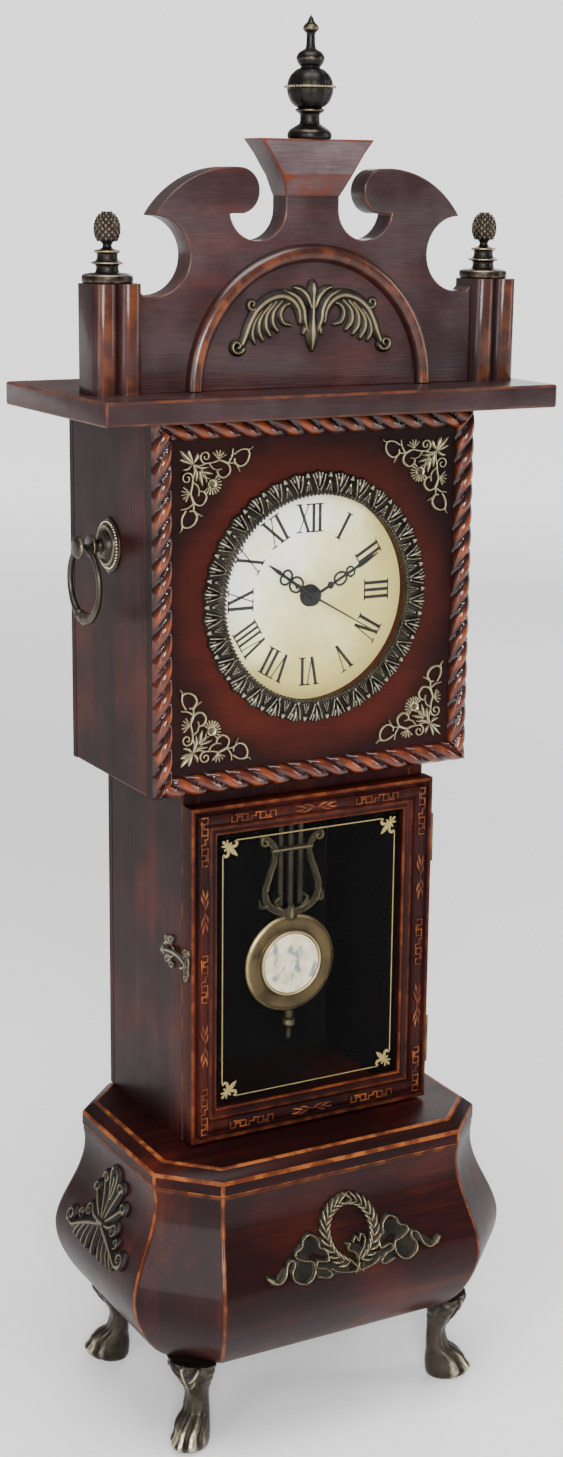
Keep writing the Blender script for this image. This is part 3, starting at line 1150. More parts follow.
leaf_ring = repeated(bezel_motif.placed(bend_round), BEZEL_LEAVES, bezel_brass, turn=(0, 360 / BEZEL_LEAVES, 0))
rope_knot = casting([stroke(ROUND, (-0.5, -0.7, 0.42, 0.5), (0.5, 0.7, 0.42, 0.5), steps=3)], 0.2, 0.2)
glass_rope = repeated(rope_knot.at(0, -2.2, leaf_foot + 0.2), 150, bezel_brass, turn=(0, 2.4, 0))
hoop_steps = [(-0.6, -0.1, 0.0), (-0.6, -1.6, 0.2), (-0.1, -2.5, 0.6), (0.6, -2.3, 0.4), (1.2, -1.6, 0.0),
              (4.0, -1.0, 0.0), (8.0, -0.8, 0.0), (9.2, -0.6, 0.1), (9.3, -0.1, 0.0)]
hoop_rings = []
for turn in np.linspace(0, 2 * math.pi, 160, endpoint=False):
    hoop_rings.append([((leaf_foot + out) * math.sin(turn), y, (leaf_foot + out) * math.cos(turn))
                       for out, y, _ in hoop_steps])
hoop = loft(hoop_rings, np.tile([mark for _, _, mark in hoop_steps], 160), closed=True)
bezel_shape = (hoop + leaf_ring + glass_rope).at(0, bezel_back, dial_z)
make("acanthus_bezel", bezel_shape, bezel_brass, "case", "antique_brass", "bezel", crisp=60)

# ------------------------------------------------------------------------------ the glasses
# Plain sheet glass: a round one over the dial, and a square one in the door behind its painted gilt line.

glass = Finish("sheet_glass", Base_Color=(0.02, 0.022, 0.022), IOR=1.45, Roughness=0.04)
smear = glass.noise(12, 2.0)
glass.give("Alpha", 0.02 + 0.02 * smear)
glass.give("Roughness", 0.03 + 0.05 * smear)
refinish(glass, "dial_glass", "door_glass")

# ------------------------------------------------------------------------------ the spandrels
# Four filigree corners stamped from thin brass and left bright: two long loops with pointed tips, scrolls,
# small shells, and a flower half way along the open side.

spandrel_low, spandrel_high = span("spandrels")


def along_both(strokes):
    """Strokes and their mirror images across the corner's diagonal."""
    return strokes + [(kind, points[:, (1, 0, 2, 3)]) for kind, points in strokes]


LINE = 0.52
spandrel_strokes = along_both([
    # the open loop at the leg's end, its pointed tip and its small leaves
    stroke(ROUND, (26.5, 2.8, LINE, 0.9), (29.6, 1.0, 0.6, 0.9), (33.0, 1.0, 0.7, 0.9), (34.0, 3.6, 0.6, 0.9),
           (32.6, 6.8, 0.7, 0.9), (29.6, 8.2, 0.7, 0.9), (26.9, 6.7, 0.7, 0.9), (26.8, 4.9, 0.6, 0.8)),
    stroke(ROUND, (32.8, 1.0, 0.6, 0.9), (34.6, 0.8, 0.5, 0.8), (36.0, -0.4, 0.3, 0.7)),
    stroke(ROUND, (23.6, 6.4, LINE, 0.9), (25.4, 3.6, 0.6, 0.9), (25.9, 0.6, 0.45, 0.8)),
    stroke(ROUND, (28.0, 8.0, 0.6, 0.8), (29.3, 10.6, 0.35, 0.6)),
    stroke(ROUND, (23.5, 6.5, 0.6, 0.9), (26.8, 6.6, LINE, 0.9), steps=3),
    # the scroll along the leg, and the stem that joins it to the loop
    volute(ROUND, 12.4, 3.3, 2.9, 85, 1.3, 0.62, 0.9),
    stroke(ROUND, (12.6, 6.2, 0.62, 0.9), (16.0, 5.9, 0.62, 0.9), (19.6, 5.2, 0.62, 0.9), (23.5, 6.5, 0.7, 0.9)),
    # the curl that turns in from the stem
    stroke(ROUND, (20.0, 5.3, 0.6, 0.9), (23.6, 7.2, 0.62, 0.9), (24.4, 10.5, 0.62, 0.9), (21.6, 12.8, 0.62, 0.9),
           (18.9, 11.8, 0.62, 0.9), (18.3, 9.6, 0.55, 0.8), (20.2, 9.0, 0.5, 0.8)),
    # the small fan on the stem's outer side
    *[stroke(ROUND, (18.8, 4.6, 0.4, 0.8), (18.8 + 4.0 * math.sin(math.radians(a)),
             4.6 - 3.8 * math.cos(math.radians(a)), 0.5, 0.8), steps=3) for a in (-40, -14, 12, 38, 62)],
    # the leaves between the corner and the flower
    stroke(ROUND, (6.6, 6.6, 0.6, 0.9), (9.6, 7.0, 0.6, 0.9), (12.6, 6.2, LINE, 0.9)),
    stroke(RIDGED, (7.2, 7.2, 0.5, 0.8), (10.4, 8.0, 1.1, 1.1), (13.6, 8.0, 0.5, 0.8)),
    stroke(RIDGED, (9.6, 9.6, 0.5, 0.8), (12.8, 10.2, 1.1, 1.1), (15.8, 11.0, 0.5, 0.8)),
    stroke(ROUND, (10.4, 8.4, 0.45, 0.8), (11.4, 12.0, 0.45, 0.8), (14.4, 13.0, 0.45, 0.8)),
    stroke(ROUND, (14.0, 5.9, 0.45, 0.8), (15.8, 8.4, 0.45, 0.8), (18.3, 9.4, 0.45, 0.8)),
    # the corner's shell
    stroke(RIDGED, (6.2, 5.4, 0.5, 0.8), (4.8, 2.2, 1.15, 1.2), (4.2, 0.3, 0.5, 0.8)),
    stroke(RIDGED, (6.6, 5.8, 0.5, 0.8), (8.2, 3.6, 1.1, 1.2), (8.6, 1.6, 0.4, 0.8)),
]) + [
    stroke(RIDGED, (6.2, 6.2, 0.6, 0.9), (2.6, 2.6, 1.3, 1.3), (0.3, 0.3, 0.5, 0.8)),
    # the flower half way along the open side
    stroke(DISHED, (15.4, 15.4, 2.1, 1.3), (15.5, 15.5, 2.1, 1.3), steps=2),
    *[stroke(ROUND, (15.4 + 2.4 * math.cos(a), 15.4 + 2.4 * math.sin(a), 0.45, 0.8),
             (15.4 + 4.6 * math.cos(a), 15.4 + 4.6 * math.sin(a), 0.6, 0.9), steps=3)
      for a in np.radians(np.arange(-50, 145, 19))],
]
filigree = casting(spandrel_strokes, 0.26, 0.25)
filigree_brass = aged_brass(
    "filigree_brass", body=(0.105, 0.084, 0.046), bright=(0.62, 0.53, 0.33), recess=(0.016, 0.013, 0.010), gloss=0.20)
spandrel_shapes = []
for side_x in (-1, 1):
    for side_z in (-1, 1):
        corner = np.array([side_x * spandrel_high[0], spandrel_high[1],
                           spandrel_high[2] if side_z > 0 else spandrel_low[2]])
        spandrel_shapes.append(filigree.placed(
            lambda points: points * (-side_x, 1, -side_z) + corner))
make("filigree_spandrels", gathered(spandrel_shapes), filigree_brass, "case", "antique_brass", "spandrels",
     crisp=60)

# ------------------------------------------------------------------------------ the hands
# Pierced steel hands, stamped and painted black: loops and a spear point on the hour and minute hands, and a
# plain needle with a ring in its tail for the seconds.

black_steel = mottled("blackened_steel", 500, (0.006, 0.006, 0.007), (0.030, 0.028, 0.028), 0.34, 0.18, (700,),
                      Metallic=0.35)


def round_hand(shape, degrees, plane):
    """Turns a hand to its place, clockwise from twelve, with its back in a plane."""
    return turned_to(shape, -degrees).at(0, plane, dial_z)


def boss(radius, height=0.5):
    return stroke(ROUND, (-0.1, 0, radius, height), (0.1, 0, radius, height), steps=2)


hour_strokes = both_sides([
    stroke(ROUND, (0.2, 7.0, 0.5, 0.3), (2.6, 8.0, 0.5, 0.3), (3.5, 10.6, 0.55, 0.3), (2.4, 13.0, 0.5, 0.3),
           (0.5, 13.6, 0.5, 0.3)),
    stroke(ROUND, (0.4, 14.0, 0.5, 0.3), (2.8, 15.2, 0.55, 0.3), (3.4, 17.6, 0.5, 0.3), (1.6, 19.2, 0.5, 0.3),
           (0.2, 18.6, 0.45, 0.3)),
    stroke(ROUND, (0.8, 4.0, 0.5, 0.3), (1.9, 5.4, 0.45, 0.3), (1.0, 6.8, 0.4, 0.3)),
]) + [
    boss(4.6), stroke(ROUND, (0, 2, 0.8, 0.3), (0, 20, 0.7, 0.3), steps=3),
    stroke(RIDGED, (0, 19.5, 0.6, 0.3), (0, 21.4, 1.0, 0.4), (0, 27.4, 0.3, 0.2)),
]
minute_strokes = both_sides([
    stroke(ROUND, (0.2, 12.4, 0.45, 0.3), (2.2, 13.6, 0.5, 0.3), (2.9, 16.0, 0.5, 0.3), (1.9, 18.4, 0.5, 0.3),
           (0.3, 19.2, 0.45, 0.3)),
    stroke(ROUND, (0.3, 19.6, 0.45, 0.3), (2.0, 20.8, 0.5, 0.3), (2.0, 23.0, 0.45, 0.3), (0.3, 24.0, 0.4, 0.3)),
    stroke(ROUND, (0.3, 8.6, 0.4, 0.3), (1.4, 9.8, 0.45, 0.3), (0.5, 11.4, 0.4, 0.3)),
]) + [
    boss(3.4), stroke(ROUND, (0, 2, 0.75, 0.3), (0, 26, 0.6, 0.3), steps=3),
    stroke(RIDGED, (0, 25, 0.6, 0.3), (0, 29.5, 1.15, 0.4), (0, 38.4, 0.2, 0.2)),
]
second_strokes = [
    boss(2.4), stroke(ROUND, (0, 1, 0.5, 0.2), (0, 37.2, 0.18, 0.15), steps=3),
    stroke(ROUND, (0, -1, 0.5, 0.2), (0, -9.4, 0.45, 0.2), steps=3),
    volute(ROUND, 0, -10.6, 1.5, 90, 1.0, 0.4, 0.25),
]
hour_back = span("hour_hand")[1][1]
minute_back = span("minute_hand")[1][1]
second_back = span("second_hand")[1][1]
HOUR_AT, MINUTE_AT, SECOND_AT = 305, 62, 120
for name, strokes, degrees, back, body, node in (
        ("hour_hand_pierced", hour_strokes, HOUR_AT, hour_back, "hour_work", "hour_hand"),
        ("minute_hand_pierced", minute_strokes, MINUTE_AT, minute_back, "minute_work", "minute_hand"),
        ("second_hand_needle", second_strokes, SECOND_AT, second_back, "second_work", "second_hand")):
    make(name, round_hand(casting(strokes, 0.22, 0.1), degrees, back), black_steel, body, "black_steel", node,
         crisp=60)

# ------------------------------------------------------------------------------ the movement
# A bought quartz movement in a black moulded case behind the dial, held by one brass nut, with a dry cell, a
# drive coil, white gears, and a pendulum rocker in the housing below.

moulded = mottled("black_moulding", 260, (0.012, 0.012, 0.013), (0.030, 0.030, 0.031), 0.46, 0.2, (1500, 2.0),
                  Specular_IOR_Level=0.4)
moulded.bump(moulded.noise(2600, 2.0), 0.10, 0.0003)
refinish(moulded, "movement_case", "movement_cover", "pendulum_rocker", "set_knob")

gear_white = mottled("gear_acetal", 300, (0.66, 0.64, 0.56), (0.80, 0.79, 0.72), 0.32, 0.1, (900,), 2.0,
                     Subsurface_Weight=0.05)
refinish(gear_white, "hour_wheel", "minute_arbor", "second_arbor", "motion_wheel")

nut_ring = spun(flowing([
    (3.0, 0.1, 0.0), (5.0, 0.1, 0.2), (5.2, 0.5, 0.5), (4.7, 0.9, 0.3), (2.6, 1.0, 0.1), (2.6, 0.1, 0.0)], 3), 48)
make("round_fixing_nut", nut_ring.placed(
    lambda points: np.stack([points[:, 0], dial_front - points[:, 2], dial_z + points[:, 1]], 1)),
    black_steel, "case", "plated_steel", "fixing_nut", crisp=50)

coil_wire = Finish("coil_wire", Metallic=0.8)
turns_of_wire = coil_wire.node(
    "ShaderNodeTexWave", {"bands_direction": "Z", "wave_profile": "SIN"},
    {"Vector": coil_wire.place(), "Scale": 480.0, "Distortion": 0.4})
coil_wire.give("Base Color", coil_wire.ramp(turns_of_wire, (0.2, (0.13, 0.03, 0.01)), (0.8, (0.62, 0.22, 0.08))))
coil_wire.give("Roughness", 0.28 + 0.2 * turns_of_wire)
coil_wire.bump(turns_of_wire, 0.5, 0.0003)
refinish(coil_wire, "drive_coil")

battery_high = span("battery")[1]
cell_can = Finish("battery_sleeve", Specular_IOR_Level=0.6)
sleeve_end = cell_can.axis(0).step((battery_high[0] - 13.6) * MM, (battery_high[0] - 13.2) * MM)
cell_can.give("Base Color", cell_can.blend(
    cell_can.ramp(cell_can.noise(80), (0.3, (0.018, 0.020, 0.024)), (0.8, (0.034, 0.036, 0.042))),
    (0.62, 0.30, 0.10), sleeve_end))
cell_can.give("Metallic", 0.15 + 0.75 * sleeve_end)
cell_can.give("Roughness", 0.24 + 0.12 * cell_can.noise(300))
refinish(cell_can, "battery")

# ------------------------------------------------------------------------------ the pendulum
# A short lyre pendulum on the rocker: three flat rods, a dull brass lyre, and a dished bob round a printed
# face, with a turned rating nut below. It hangs dark and unpolished behind the glass.

pendulum_brass = aged_brass(
    "pendulum_brass", body=(0.042, 0.033, 0.016), bright=(0.26, 0.21, 0.11), recess=(0.016, 0.013, 0.007),
    wiped=0.9, gloss=0.34)
bob_brass = aged_brass(
    "bob_brass", body=(0.11, 0.078, 0.032), bright=(0.66, 0.52, 0.26), recess=(0.030, 0.022, 0.010), gloss=0.24)
bob_low, bob_high = span("pendulum_bob")
bob_z = (bob_low[2] + bob_high[2]) / 2
bob_radius = bob_high[0]
bob_middle = (bob_low[1] + bob_high[1]) / 2
bob_half = (bob_high[1] - bob_low[1]) / 2
face_radius = span("bob_face")[1][0]
lyre_low, lyre_high = span("pendulum_lyre")

lyre_strokes = both_sides([
    stroke(DISHED, (0, 1.6, 1.5, 0.7), (6.6, 2.6, 1.6, 0.8), (12.6, 6.6, 1.6, 0.8), (14.6, 13.2, 1.6, 0.8),
           (12.4, 21.4, 1.5, 0.8), (9.8, 28.6, 1.4, 0.8), (9.6, 34.4, 1.4, 0.8), (12.2, 38.4, 1.5, 0.8),
           (16.0, 41.0, 1.2, 0.7)),
    volute(ROUND, 14.4, 38.4, 2.6, 60, -0.9, 0.9, 0.9),
    stroke(RIDGED, (12.8, 7.0, 1.0, 0.8), (16.6, 6.0, 1.0, 0.7), (17.4, 9.4, 0.6, 0.6)),
    stroke(ROUND, (5.0, 3.0, 0.9, 0.7), (8.8, 7.6, 0.7, 0.7), (6.4, 10.0, 0.6, 0.7)),
]) + [
    stroke(ROUND, (-10.4, 33.6, 1.1, 0.9), (0, 33.6, 1.2, 0.9), (10.4, 33.6, 1.1, 0.9), steps=4),
    stroke(RIDGED, (0, -0.6, 3.2, 0.9), (0, 3.4, 2.0, 0.9)),
]
lyre_shape = casting(lyre_strokes, 0.45, 0.6).at(0, lyre_high[1], lyre_low[2])
make("lyre_casting", lyre_shape, pendulum_brass, "pendulum", "antique_brass", "pendulum_lyre", crisp=60)
rods_low, rods_high = span("pendulum_rods")
flat_rods = []
for x in (-5.4, 0, 5.4):
    rod_rings = []
    for height in np.linspace(rods_low[2], rods_high[2], 24):
        half = 1.1 if height < rods_high[2] - 6 else 0.9
        rod_rings.append([(x + half * sx * (1 if sy else 0.8), (rods_low[1] + rods_high[1]) / 2 + sy * 0.7, height)
                          for sx, sy in ((-1, -1), (1, -1), (1, 1), (-1, 1))])
    flat_rods.append(loft(rod_rings, 0.0))
flat_rods.append(loft([[(x * s, rods_low[1] + y, z) for x, y in ((-6.6, 0), (6.6, 0), (6.6, 2), (-6.6, 2))]
                       for z, s in ((rods_high[2] - 3.4, 1.0), (rods_high[2] - 0.2, 1.0))], 0.3))
make("lyre_rods", gathered(flat_rods), pendulum_brass, "pendulum", "antique_brass", "pendulum_rods")

bob_steps = flowing([
    (bob_radius - 0.4, 0.2, 0.1), (bob_radius, 0.0, 0.5), (bob_radius - 0.3, -0.9, 0.75),
    (bob_radius - 2.4, -2.0, 0.25), (bob_radius - 5.2, -1.5, 0.05), (face_radius + 2.4, -1.0, 0.0),
    (face_radius + 1.7, -2.0, 0.5), (face_radius + 1.0, -2.9, 1.0), (face_radius + 0.3, -2.2, 0.5),
    (face_radius - 0.1, -1.3, 0.1)], 4)
bob_rings = []
for turn in np.linspace(0, 2 * math.pi, 96, endpoint=False):
    edge = [(radius, y) for radius, y, _ in bob_steps]
    edge += [(face_radius - 0.1, bob_half - 1.0), (bob_radius * 0.6, bob_half * 0.95),
             (bob_radius - 1.6, bob_half * 0.5)]
    bob_rings.append([(radius * math.sin(turn), bob_middle + y, bob_z + radius * math.cos(turn))
                      for radius, y in edge])
bob_marks = np.tile([mark for _, _, mark in bob_steps] + [0.0, 0.1, 0.1], 96)
back_disc = spun([(face_radius + 1.0, 0, 0.1), (face_radius + 1.0, 0.8, 0.1)], 48).placed(
    lambda points: np.stack([points[:, 0], bob_middle + 0.6 + points[:, 2], bob_z + points[:, 1]], 1))
make("dished_bob", loft(bob_rings, bob_marks, closed=True) + back_disc, bob_brass, "pendulum",
     "antique_brass", "pendulum_bob", crisp=60)

bob_paper = Finish("bob_paper", Coat_Weight=0.1)
bob_tone = bob_paper.noise(160, 4.0)
smudge = bob_paper.noise(190, 3.0, (1, 1, 0.6)).step(0.52, 0.64) * bob_paper.noise(70, 2.0).step(0.38, 0.58)
bob_colour = bob_paper.ramp(bob_tone, (0.35, (0.52, 0.46, 0.28)), (0.65, (0.80, 0.74, 0.52)))
bob_paper.give("Base Color", bob_paper.blend(bob_colour, (0.13, 0.15, 0.21), 0.85 * smudge))
bob_paper.give("Roughness", 0.42 + 0.2 * bob_tone)
refinish(bob_paper, "bob_face")

nut_low, nut_high = span("rating_nut")
nut_steps = flowing([
    (1.5, nut_high[2], 0.1), (2.2, nut_high[2] - 0.6, 0.4), (2.2, nut_high[2] - 3.4, 0.2),
    (1.7, nut_high[2] - 4.2, 0.0), (2.9, nut_high[2] - 5.0, 0.5), (3.0, nut_high[2] - 7.2, 0.7),
    (2.4, nut_high[2] - 8.2, 0.1), (1.3, nut_high[2] - 9.0, 0.0), (1.3, nut_low[2] + 1.0, 0.2),
    (0.2, nut_low[2], 0.1)], 4)
make("turned_rating_nut", spun(nut_steps, 32).at(0, bob_middle, 0), pendulum_brass, "pendulum", "antique_brass",
     "rating_nut", crisp=50)

# ------------------------------------------------------------------------------ the door
# A mitred frame moulded from one length of mahogany: a square outer edge, a dark cove, a half-round bead with
# carved keys and leaf sprays, and an ogee that slopes in to the glass. Its high places are rubbed orange.

door_low, door_high = span("door_stiles")
door_front = door_low[1]
door_middle = (door_low[2] + door_high[2]) / 2
# each step of the moulding: in from the outer edge, back from the front, and how rubbed it is
MOULDING = [
    (0.0, 9.9, 0.0), (0.0, 1.6, 0.1), (0.25, 0.9, 0.9), (0.9, 0.6, 0.5), (1.7, 0.7, 0.25), (2.1, 1.3, 0.0),
    (2.7, 2.2, 0.0), (3.5, 2.4, 0.0), (3.9, 1.9, 0.0), (4.4, 1.1, 0.0), (5.2, 0.6, 0.05), (6.4, 0.5, 0.05),
    (7.6, 0.6, 0.05), (8.4, 1.1, 0.0), (8.9, 1.9, 0.0), (9.3, 2.6, 0.0), (9.9, 2.4, 0.1), (10.6, 2.0, 0.4),
    (11.4, 2.2, 0.1), (12.3, 2.9, 0.0), (13.1, 3.4, 0.0), (13.7, 3.2, 0.3), (14.2, 3.4, 0.8), (14.5, 3.9, 0.5),
    (14.5, 5.4, 0.0), (9.2, 5.4, 0.0), (9.2, 9.9, 0.0)]
door_half = door_high[0], (door_high[2] - door_low[2]) / 2
door_rings = []
door_marks = []
corners = ((-1, -1), (1, -1), (1, 1), (-1, 1))
for number, start in enumerate(corners):
    end = corners[(number + 1) % 4]
    for share in np.linspace(0, 1, 25)[:-1]:
        ring = []
        for inward, back, _ in MOULDING:
            spots = [(sx * (door_half[0] - inward), sz * (door_half[1] - inward)) for sx, sz in (start, end)]
            x, z = ((1 - share) * a + share * b for a, b in zip(*spots))
            ring.append((x, door_front + back, door_middle + z))
        door_rings.append(ring)
        door_marks += [mark for _, _, mark in MOULDING]


door_wood = mahogany("door_mahogany", 2, rubbed=(0.17, 0.043, 0.012), redness=0.6)
make("moulded_door_frame", loft(door_rings, door_marks, closed=True), door_wood, "door", "mahogany",
     "door_stiles", "door_rails", crisp=40)

BEAD_INWARD = 6.4
CARVE = 0.50
key_path = [(-11.4, 1.3), (-11.4, -1.5), (-8.6, -1.5), (-8.6, 0.7), (-6.2, 0.7), (-6.2, -1.5), (-3.2, -1.5),
            (-3.2, 1.5), (-9.4, 1.6)]
key_strokes = []
for flip in (1, -1):
    spots = [(flip * x, flip * z) for x, z in key_path]
    for (x0, z0), (x1, z1) in zip(spots, spots[1:]):
        key_strokes.append(stroke(ROUND, (x0, z0, CARVE, 0.7), (x1, z1, CARVE, 0.7), steps=3))
key_strokes.append(stroke(ROUND, (-3.2, -1.5, CARVE, 0.5), (-1.2, -1.5, CARVE, 0.5), (-1.2, 0.2, CARVE, 0.5),
                          (1.2, 0.2, CARVE, 0.5), (1.2, 1.5, CARVE, 0.5), (3.2, 1.5, CARVE, 0.5), steps=2))
key_carving = casting(key_strokes, 0.22, 0.1)
spray_strokes = []
for flip in (1, -1):
    for start, length, lean in ((0.8, 5.6, 24), (2.2, 6.0, -22), (5.0, 5.6, 20), (6.4, 4.8, -16)):
        way = math.radians(lean)
        foot = flip * start, 0
        middle = flip * (start + 0.55 * length * math.cos(way)), 0.62 * length * math.sin(way)
        tip = flip * (start + length), length * math.sin(way) * 0.72
        spray_strokes.append(stroke(
            RIDGED, (*foot, 0.5, 0.5), (*middle, 1.05, 0.8), (*tip, 0.3, 0.3), steps=4))
    spray_strokes.append(stroke(ROUND, (0, 0, 0.35, 0.4), (flip * 8, 0, 0.25, 0.3), steps=3))
spray_carving = casting(spray_strokes, 0.24, 0.1)


def on_bead(shape, spot, upright):
    """Wraps a flat carving on the bead of a stile or a rail; spot is where along it the carving's middle is."""
    side, along = spot

    def wrap(points):
        across = points[:, 2]
        crown = 0.5 + 0.1 * (across / 1.2) ** 2
        y = door_front + np.minimum(crown, 1.2) + points[:, 1] + 0.06
        if upright:
            return np.stack([side * (door_half[0] - BEAD_INWARD) + across, y, along + points[:, 0]], 1)
        return np.stack([along + points[:, 0], y, door_middle + side * (door_half[1] - BEAD_INWARD) + across], 1)
    return shape.placed(wrap)


CARVING_STEP = 33.0
carvings = []
for side in (-1, 1):
    for number in (-2, 0, 2):
        carvings.append(on_bead(key_carving, (side, door_middle + number * CARVING_STEP), True))
    for number in (-1, 1):
        carvings.append(on_bead(spray_carving, (side, door_middle + number * CARVING_STEP), True))
        carvings.append(on_bead(key_carving, (side, number * CARVING_STEP), False))
    carvings.append(on_bead(spray_carving, (side, 0), False))
carved_wood = mahogany("carved_mahogany", 2, rubbed=(0.27, 0.080, 0.024), redness=0.5)
carving = gathered(carvings)
carving.mark = np.minimum(1, 1.8 * carving.mark)
make("door_carving", carving, carved_wood, "door", "mahogany", crisp=60)
refinish(level_wood, "glass_beads")

# ------------------------------------------------------------------------------ the gilt line
# A line of gold paint on the face of the door's glass, broken at each corner by a small gilt lily.

GILT_HALF = 0.24
gilt_half_x = 46.2
gilt_half_z = 63.2
LILY_GAP = 7.0
gilt_strokes = []
for sign in (-1, 1):
    gilt_strokes.append(stroke(ROUND, (-gilt_half_x + LILY_GAP, sign * gilt_half_z, GILT_HALF, 0.05),
                               (gilt_half_x - LILY_GAP, sign * gilt_half_z, GILT_HALF, 0.05), steps=2))
    gilt_strokes.append(stroke(ROUND, (sign * gilt_half_x, -gilt_half_z + LILY_GAP, GILT_HALF, 0.05),
                               (sign * gilt_half_x, gilt_half_z - LILY_GAP, GILT_HALF, 0.05), steps=2))
gilt_lines = gathered([casting([line], 0.2, 0.04) for line in gilt_strokes])
lily = casting(both_sides([
    stroke(ROUND, (0.4, 2.0, 0.45, 0.05), (2.6, 4.2, 0.75, 0.05), (4.2, 4.0, 0.6, 0.05), (4.2, 2.6, 0.35, 0.05)),
    stroke(ROUND, (0, 1.6, 0.4, 0.05), (2.2, 1.6, 0.5, 0.05), steps=3),
    stroke(ROUND, (0.3, 1.2, 0.4, 0.05), (1.8, -0.8, 0.45, 0.05), steps=3),
]) + [stroke(ROUND, (0, 0.8, 0.5, 0.05), (0, 5.0, 1.15, 0.05), (0, 8.2, 0.25, 0.05)),
      stroke(ROUND, (0, 1.4, 0.5, 0.05), (0, -1.8, 0.7, 0.05), steps=3)], 0.25, 0.04)
lilies = [turned_to(lily, turn).at(sx * (gilt_half_x - 1.6), 0, sz * (gilt_half_z - 1.6))
          for sx, sz, turn in ((1, 1, 135), (-1, 1, -135), (-1, -1, -45), (1, -1, 45))]
gold_paint = mottled("gold_paint", 600, (0.20, 0.150, 0.050), (0.40, 0.31, 0.12), 0.42, 0.2, (800,),
                     pale_from=0.75, Specular_IOR_Level=0.4)
gold_paint.give("Metallic", 0.25 + 0.2 * gold_paint.noise(200))
glass_middle = (glass_low[2] + glass_high[2]) / 2
make("gilt_line", gathered([gilt_lines] + lilies).at(0, glass_low[1] - 0.02, glass_middle), gold_paint, "door",
     "antique_brass", crisp=60)

# ------------------------------------------------------------------------------ the latch
# A small cast swing hook on the trunk's side: a curled plate on the case, its twin on the door, and an arched
# hook that pivots on the case and drops over the door's stud.

latch_brass = aged_brass("latch_brass", body=(0.10, 0.085, 0.060), bright=(0.60, 0.54, 0.40), wiped=0.9, gloss=0.22)
hook_high = span("latch_hook")[1]


def on_side(shape, x):
    """Stands a flat casting on the left side: its relief towards -X and its length along Y."""
    return shape.placed(lambda points: np.stack([x + points[:, 1], points[:, 0], points[:, 2]], 1))


plate_strokes = [
    stroke(DISHED, (-13.0, 237.2, 3.0, 0.6), (-9.0, 237.2, 3.8, 0.7), steps=3),
    volute(ROUND, -13.4, 243.0, 2.6, -60, 0.95, 0.8, 0.8), volute(ROUND, -13.4, 231.4, 2.6, 60, -0.95, 0.8, 0.8),
    stroke(ROUND, (-16.0, 237.2, 1.6, 0.8), (-19.4, 237.2, 0.9, 0.6), steps=3),
    volute(ROUND, -8.0, 241.8, 2.2, 200, -0.9, 0.7, 0.8), volute(ROUND, -8.0, 232.6, 2.2, 160, 0.9, 0.7, 0.8),
    stroke(ROUND, (-9.1, 237.2, 1.9, 2.6), (-8.9, 237.2, 1.9, 2.6), steps=2),
]
make("latch_plate_cast", on_side(casting(plate_strokes, 0.3, 0.4), -trunk_high[0]), latch_brass, "case",
     "antique_brass", "latch_plate", crisp=60)
keeper_strokes = [
    stroke(DISHED, (-28.7, 231.4, 2.4, 0.6), (-28.7, 237.4, 2.8, 0.7), steps=3),
    volute(ROUND, -29.6, 240.6, 1.7, 100, 0.9, 0.7, 0.8), volute(ROUND, -27.0, 240.4, 1.5, 80, -0.9, 0.7, 0.8),
    volute(ROUND, -28.4, 228.6, 1.7, 40, -0.9, 0.7, 0.8),
    stroke(ROUND, (-28.8, 234.5, 1.5, 3.6), (-28.6, 234.5, 1.5, 3.6), steps=2),
]
make("latch_keeper_cast", on_side(casting(keeper_strokes, 0.3, 0.4), -trunk_high[0]), latch_brass, "door",
     "antique_brass", "latch_keeper", crisp=60)
hook_strokes = [
    stroke(ROUND, (-9.1, 237.2, 2.5, 0.7), (-8.9, 237.2, 2.5, 0.7), steps=2),
    stroke(ROUND, (-9.0, 237.2, 1.2, 0.6), (-14.0, 238.4, 1.2, 0.7), (-20.0, 239.0, 1.2, 0.7), (-26.0, 238.6, 1.2, 0.7),
           (-30.4, 237.2, 1.2, 0.7), (-31.4, 235.4, 1.3, 0.7)),
    stroke(ROUND, (-8.2, 237.2, 1.2, 0.6), (-6.6, 236.6, 1.1, 0.7), steps=3),
]
make("latch_hook_cast", on_side(casting(hook_strokes, 0.25, 0.25), hook_high[0]), latch_brass, "latch",
     "antique_brass", "latch_hook", crisp=60)

# ------------------------------------------------------------------------------ the ring pulls
# A drop ring on each side of the hood: a lobed rosette with a beaded edge, a domed boss, a post with a barrel
# eye, and a cast ring that thickens to a collared knob at its lowest point.

pull_brass = aged_brass("pull_brass", body=(0.055, 0.046, 0.034), bright=(0.62, 0.52, 0.37), wiped=0.95, gloss=0.16)
rosette_low, rosette_high = span("pull_rosettes")
pull_y = (rosette_low[1] + rosette_high[1]) / 2
pull_z = (rosette_low[2] + rosette_high[2]) / 2
hood_side = hood_high[0]
eye_x = 95.3
rosette_steps = flowing([
    (12.2, 0.0, 0.0), (12.3, 0.6, 0.1), (11.4, 1.1, 0.3), (10.4, 1.2, 0.0), (9.8, 1.4, 0.0), (9.4, 2.4, 0.5),
    (8.4, 2.7, 0.6), (7.4, 2.0, 0.0), (6.8, 2.2, 0.0), (6.0, 3.8, 0.3), (4.6, 4.9, 0.5), (3.6, 5.2, 0.2),
    (3.0, 6.0, 0.0), (2.7, 7.4, 0.2), (3.0, 8.2, 0.5)], 3)
rosette = spun(rosette_steps, 64)
rosette = rosette + repeated(bead(0.62).at(10.6, 0, 1.3), 44, pull_brass, turn=(0, 0, 360 / 44))
rosette_lobes = [spun([(3.6, 0, 0.0), (3.6, 0.6, 0.3), (2.6, 1.2, 0.6), (0.1, 1.4, 0.2)], 20).at(0, side * 9.4, 0)
                 for side in (-1, 1)]
rosette = gathered([rosette] + rosette_lobes)


